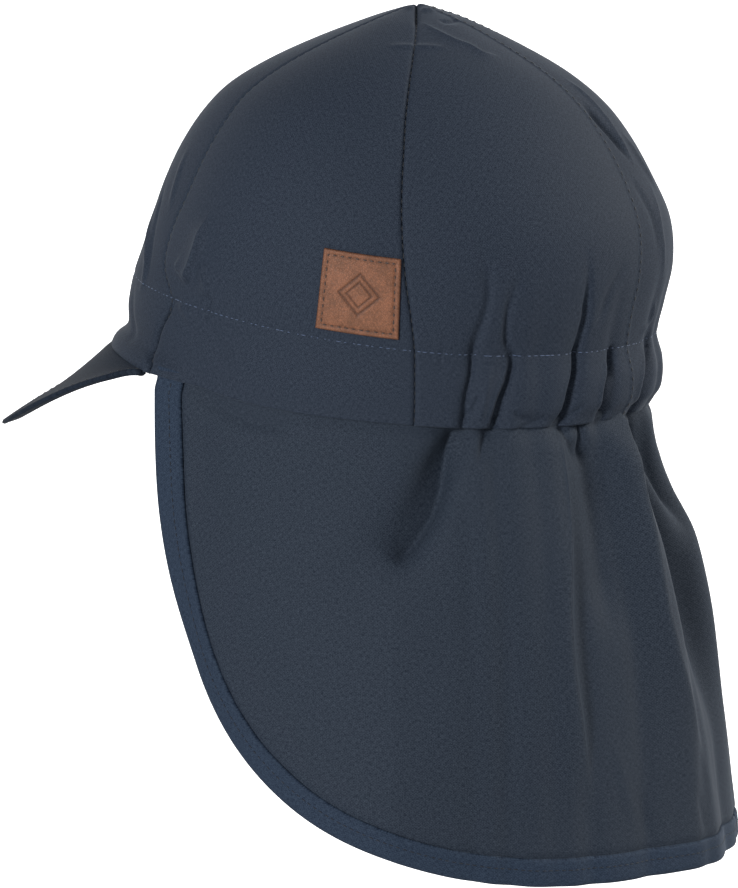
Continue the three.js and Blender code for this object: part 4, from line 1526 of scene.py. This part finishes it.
def towards(azimuth: float, elevation: float) -> Vector:
    """Direction out of the cap's middle, given in degrees round from the brow and up from level."""
    turn = math.radians(azimuth)
    rise = math.radians(elevation)
    return Vector((math.sin(turn) * math.cos(rise), -math.cos(turn) * math.cos(rise), math.sin(rise)))


def placed(made: bpy.types.Object, spot: Vector, back: Vector) -> bpy.types.Object:
    """Links a camera or a lamp to the scene at a spot, with its back to a direction."""
    bpy.context.scene.collection.objects.link(made)
    made.location = spot
    made.rotation_mode = "QUATERNION"
    made.rotation_quaternion = (-back).to_track_quat("-Z", "Y")
    return made


@dataclass(frozen=True)
class Lamp:
    """A soft square lamp that looks at the cap. Angles are degrees, lengths metres, power is watts."""

    name: str
    azimuth: float
    elevation: float
    size: float
    power: float
    tint: tuple[float, float, float]
    distance: float = 2.4

    def build(self) -> bpy.types.Object:
        """The lamp, in its place."""
        back = towards(self.azimuth, self.elevation)
        data = bpy.data.lights.new(self.name, "AREA")
        data.size = self.size
        data.energy = self.power
        data.color = self.tint
        return placed(bpy.data.objects.new(self.name, data), back * self.distance, back)


KEY_LAMP = Lamp("key_lamp", azimuth=61.0, elevation=13.0, size=0.45, power=50.0, tint=(0.96, 0.98, 1.0))
BACK_LAMP = Lamp("back_lamp", azimuth=192.0, elevation=26.0, size=0.8, power=58.0, tint=(1.0, 0.98, 0.93))


@dataclass(frozen=True)
class Studio:
    """The camera, the pale floor and the soft light. Lengths are metres, the aim is millimetres."""

    azimuth: float = 93.0
    elevation: float = 9.5
    distance: float = 2.0
    pixels_per_mm: float = 3.07
    frame_width: int = 738
    frame_height: int = 888
    aim_right: float = -12.4
    aim_up: float = -42.0
    sensor: float = 36.0
    floor_height: float = -1.56
    floor_size: float = 18.0
    sheet_distance: float = 5.5
    sheet_width: float = 17.5
    sheet_height: float = 5.8
    sheet_glow: float = 1.0
    sheet_gap: float = 0.005
    paper: tuple[float, float, float, float] = (0.8, 0.8, 0.8, 1.0)
    white: tuple[float, float, float, float] = (1.0, 1.0, 1.0, 1.0)
    roughness: float = 0.9
    surroundings_glow: float = 0.4

    def axes(self) -> tuple[Vector, Vector, Vector]:
        """Directions towards the camera, to the right and up in the picture."""
        back = towards(self.azimuth, self.elevation)
        right = (-back).cross(Vector((0, 0, 1))).normalized()
        return back, right, right.cross(-back)

    def camera(self) -> bpy.types.Object:
        """The camera, at the photograph's viewing angle and scale."""
        back, right, up = self.axes()
        data = bpy.data.cameras.new("camera")
        data.sensor_width = self.sensor
        scale = self.pixels_per_mm / MM * self.distance
        data.lens = scale / self.frame_height * self.sensor
        aim = (right * self.aim_right + up * self.aim_up) * MM
        made = placed(bpy.data.objects.new("camera", data), aim + back * self.distance, back)
        bpy.context.scene.camera = made
        return made

    def floor(self) -> bpy.types.Object:
        """The pale floor."""
        half = self.floor_size / 2 / MM
        height = self.floor_height / MM
        ways = ((-1, -1), (1, -1), (1, 1), (-1, 1))
        corners = np.array([[x * half, y * half, height] for x, y in ways])
        made = new_object("floor", corners, [[0, 1, 2, 3]])
        nodes = Nodes("floor_paper")
        made.data.materials.append(nodes.finish({"Base Color": self.paper, "Roughness": self.roughness}))
        return made

    def backdrop(self) -> bpy.types.Object:
        """The glowing white sheet that stands well behind the cap, so that a camera fits before it."""
        back, right, _ = self.axes()
        level = Vector((back.x, back.y, 0)).normalized()
        foot = -level * self.sheet_distance
        side = right * self.sheet_width / 2
        low = Vector((0, 0, self.floor_height + self.sheet_gap))
        high = Vector((0, 0, self.sheet_height))
        corners = [foot - side + low, foot + side + low, foot + side + high, foot - side + high]
        made = new_object("backdrop", np.array([list(corner) for corner in corners]) / MM, [[0, 1, 2, 3]])
        nodes = Nodes("backdrop_glow")
        inputs = {
            "Base Color": self.white,
            "Roughness": self.roughness,
            "Emission Color": self.white,
            "Emission Strength": self.sheet_glow,
        }
        made.data.materials.append(nodes.finish(inputs))
        return made

    def surroundings(self) -> None:
        """Plain white surroundings."""
        world = bpy.data.worlds.new("studio")
        world.use_nodes = True
        sky = world.node_tree.nodes["Background"]
        sky.inputs["Color"].default_value = self.white
        sky.inputs["Strength"].default_value = self.surroundings_glow
        bpy.context.scene.world = world
        bpy.context.scene.view_settings.view_transform = "Standard"

    def build(self) -> None:
        """Sets up the whole studio."""
        self.camera()
        self.floor()
        self.backdrop()
        self.surroundings()
        KEY_LAMP.build()
        BACK_LAMP.build()


CROWN_CLOTH = ClothFinish("navy_crown_cloth", colour=(20, 28, 41), light=(49, 57, 69))
# Painted shade: the peak is the same navy cloth as the crown, given darker colours and less specular and
# sheen, so that its top, which faces the lamps more, reads no lighter than the crown.
PEAK_SHADED_CLOTH = ClothFinish("navy_peak_painted_shade_cloth", (13, 20, 31), (39, 47, 58), specular=0.09, sheen=0.02)
FLAP_CLOTH = ClothFinish("navy_flap_cloth", colour=(21, 29, 41), light=(50, 58, 69))
HEM_CLOTH = ClothFinish("navy_hem_cloth", colour=(20, 31, 47), light=(48, 60, 76))
PALE_THREAD = ThreadFinish("pale_blue_thread", colour=(72, 90, 122))
DARK_THREAD = ThreadFinish("black_thread", colour=(10, 13, 22))
HEM_THREAD = ThreadFinish("navy_thread", colour=(10, 15, 28), sheen=0.0)
BROWN_THREAD = ThreadFinish("brown_thread", colour=(62, 40, 30))
LEATHER = LeatherFinish("tan_leather", colour=(137, 88, 62), dark=(106, 68, 46), pressed=(62, 37, 25))


def main() -> None:
    """Builds the studio and the cap's parts in order."""
    logging.basicConfig(level=logging.INFO, format="%(name)s %(message)s")
    Studio().build()
    crown = Crown()
    dark_thread = DARK_THREAD.material()
    CrownPieces(crown).build(CROWN_CLOTH.material(), PALE_THREAD.material(), dark_thread)
    FlapPieces(Flap(crown)).build(FLAP_CLOTH.material(), HEM_CLOTH.material(), HEM_THREAD.material())
    PeakPieces(Peak(crown)).build(PEAK_SHADED_CLOTH.material(), dark_thread)
    PatchPieces(crown).build(LEATHER.material(), BROWN_THREAD.material())


if __name__ == "__main__":
    main()
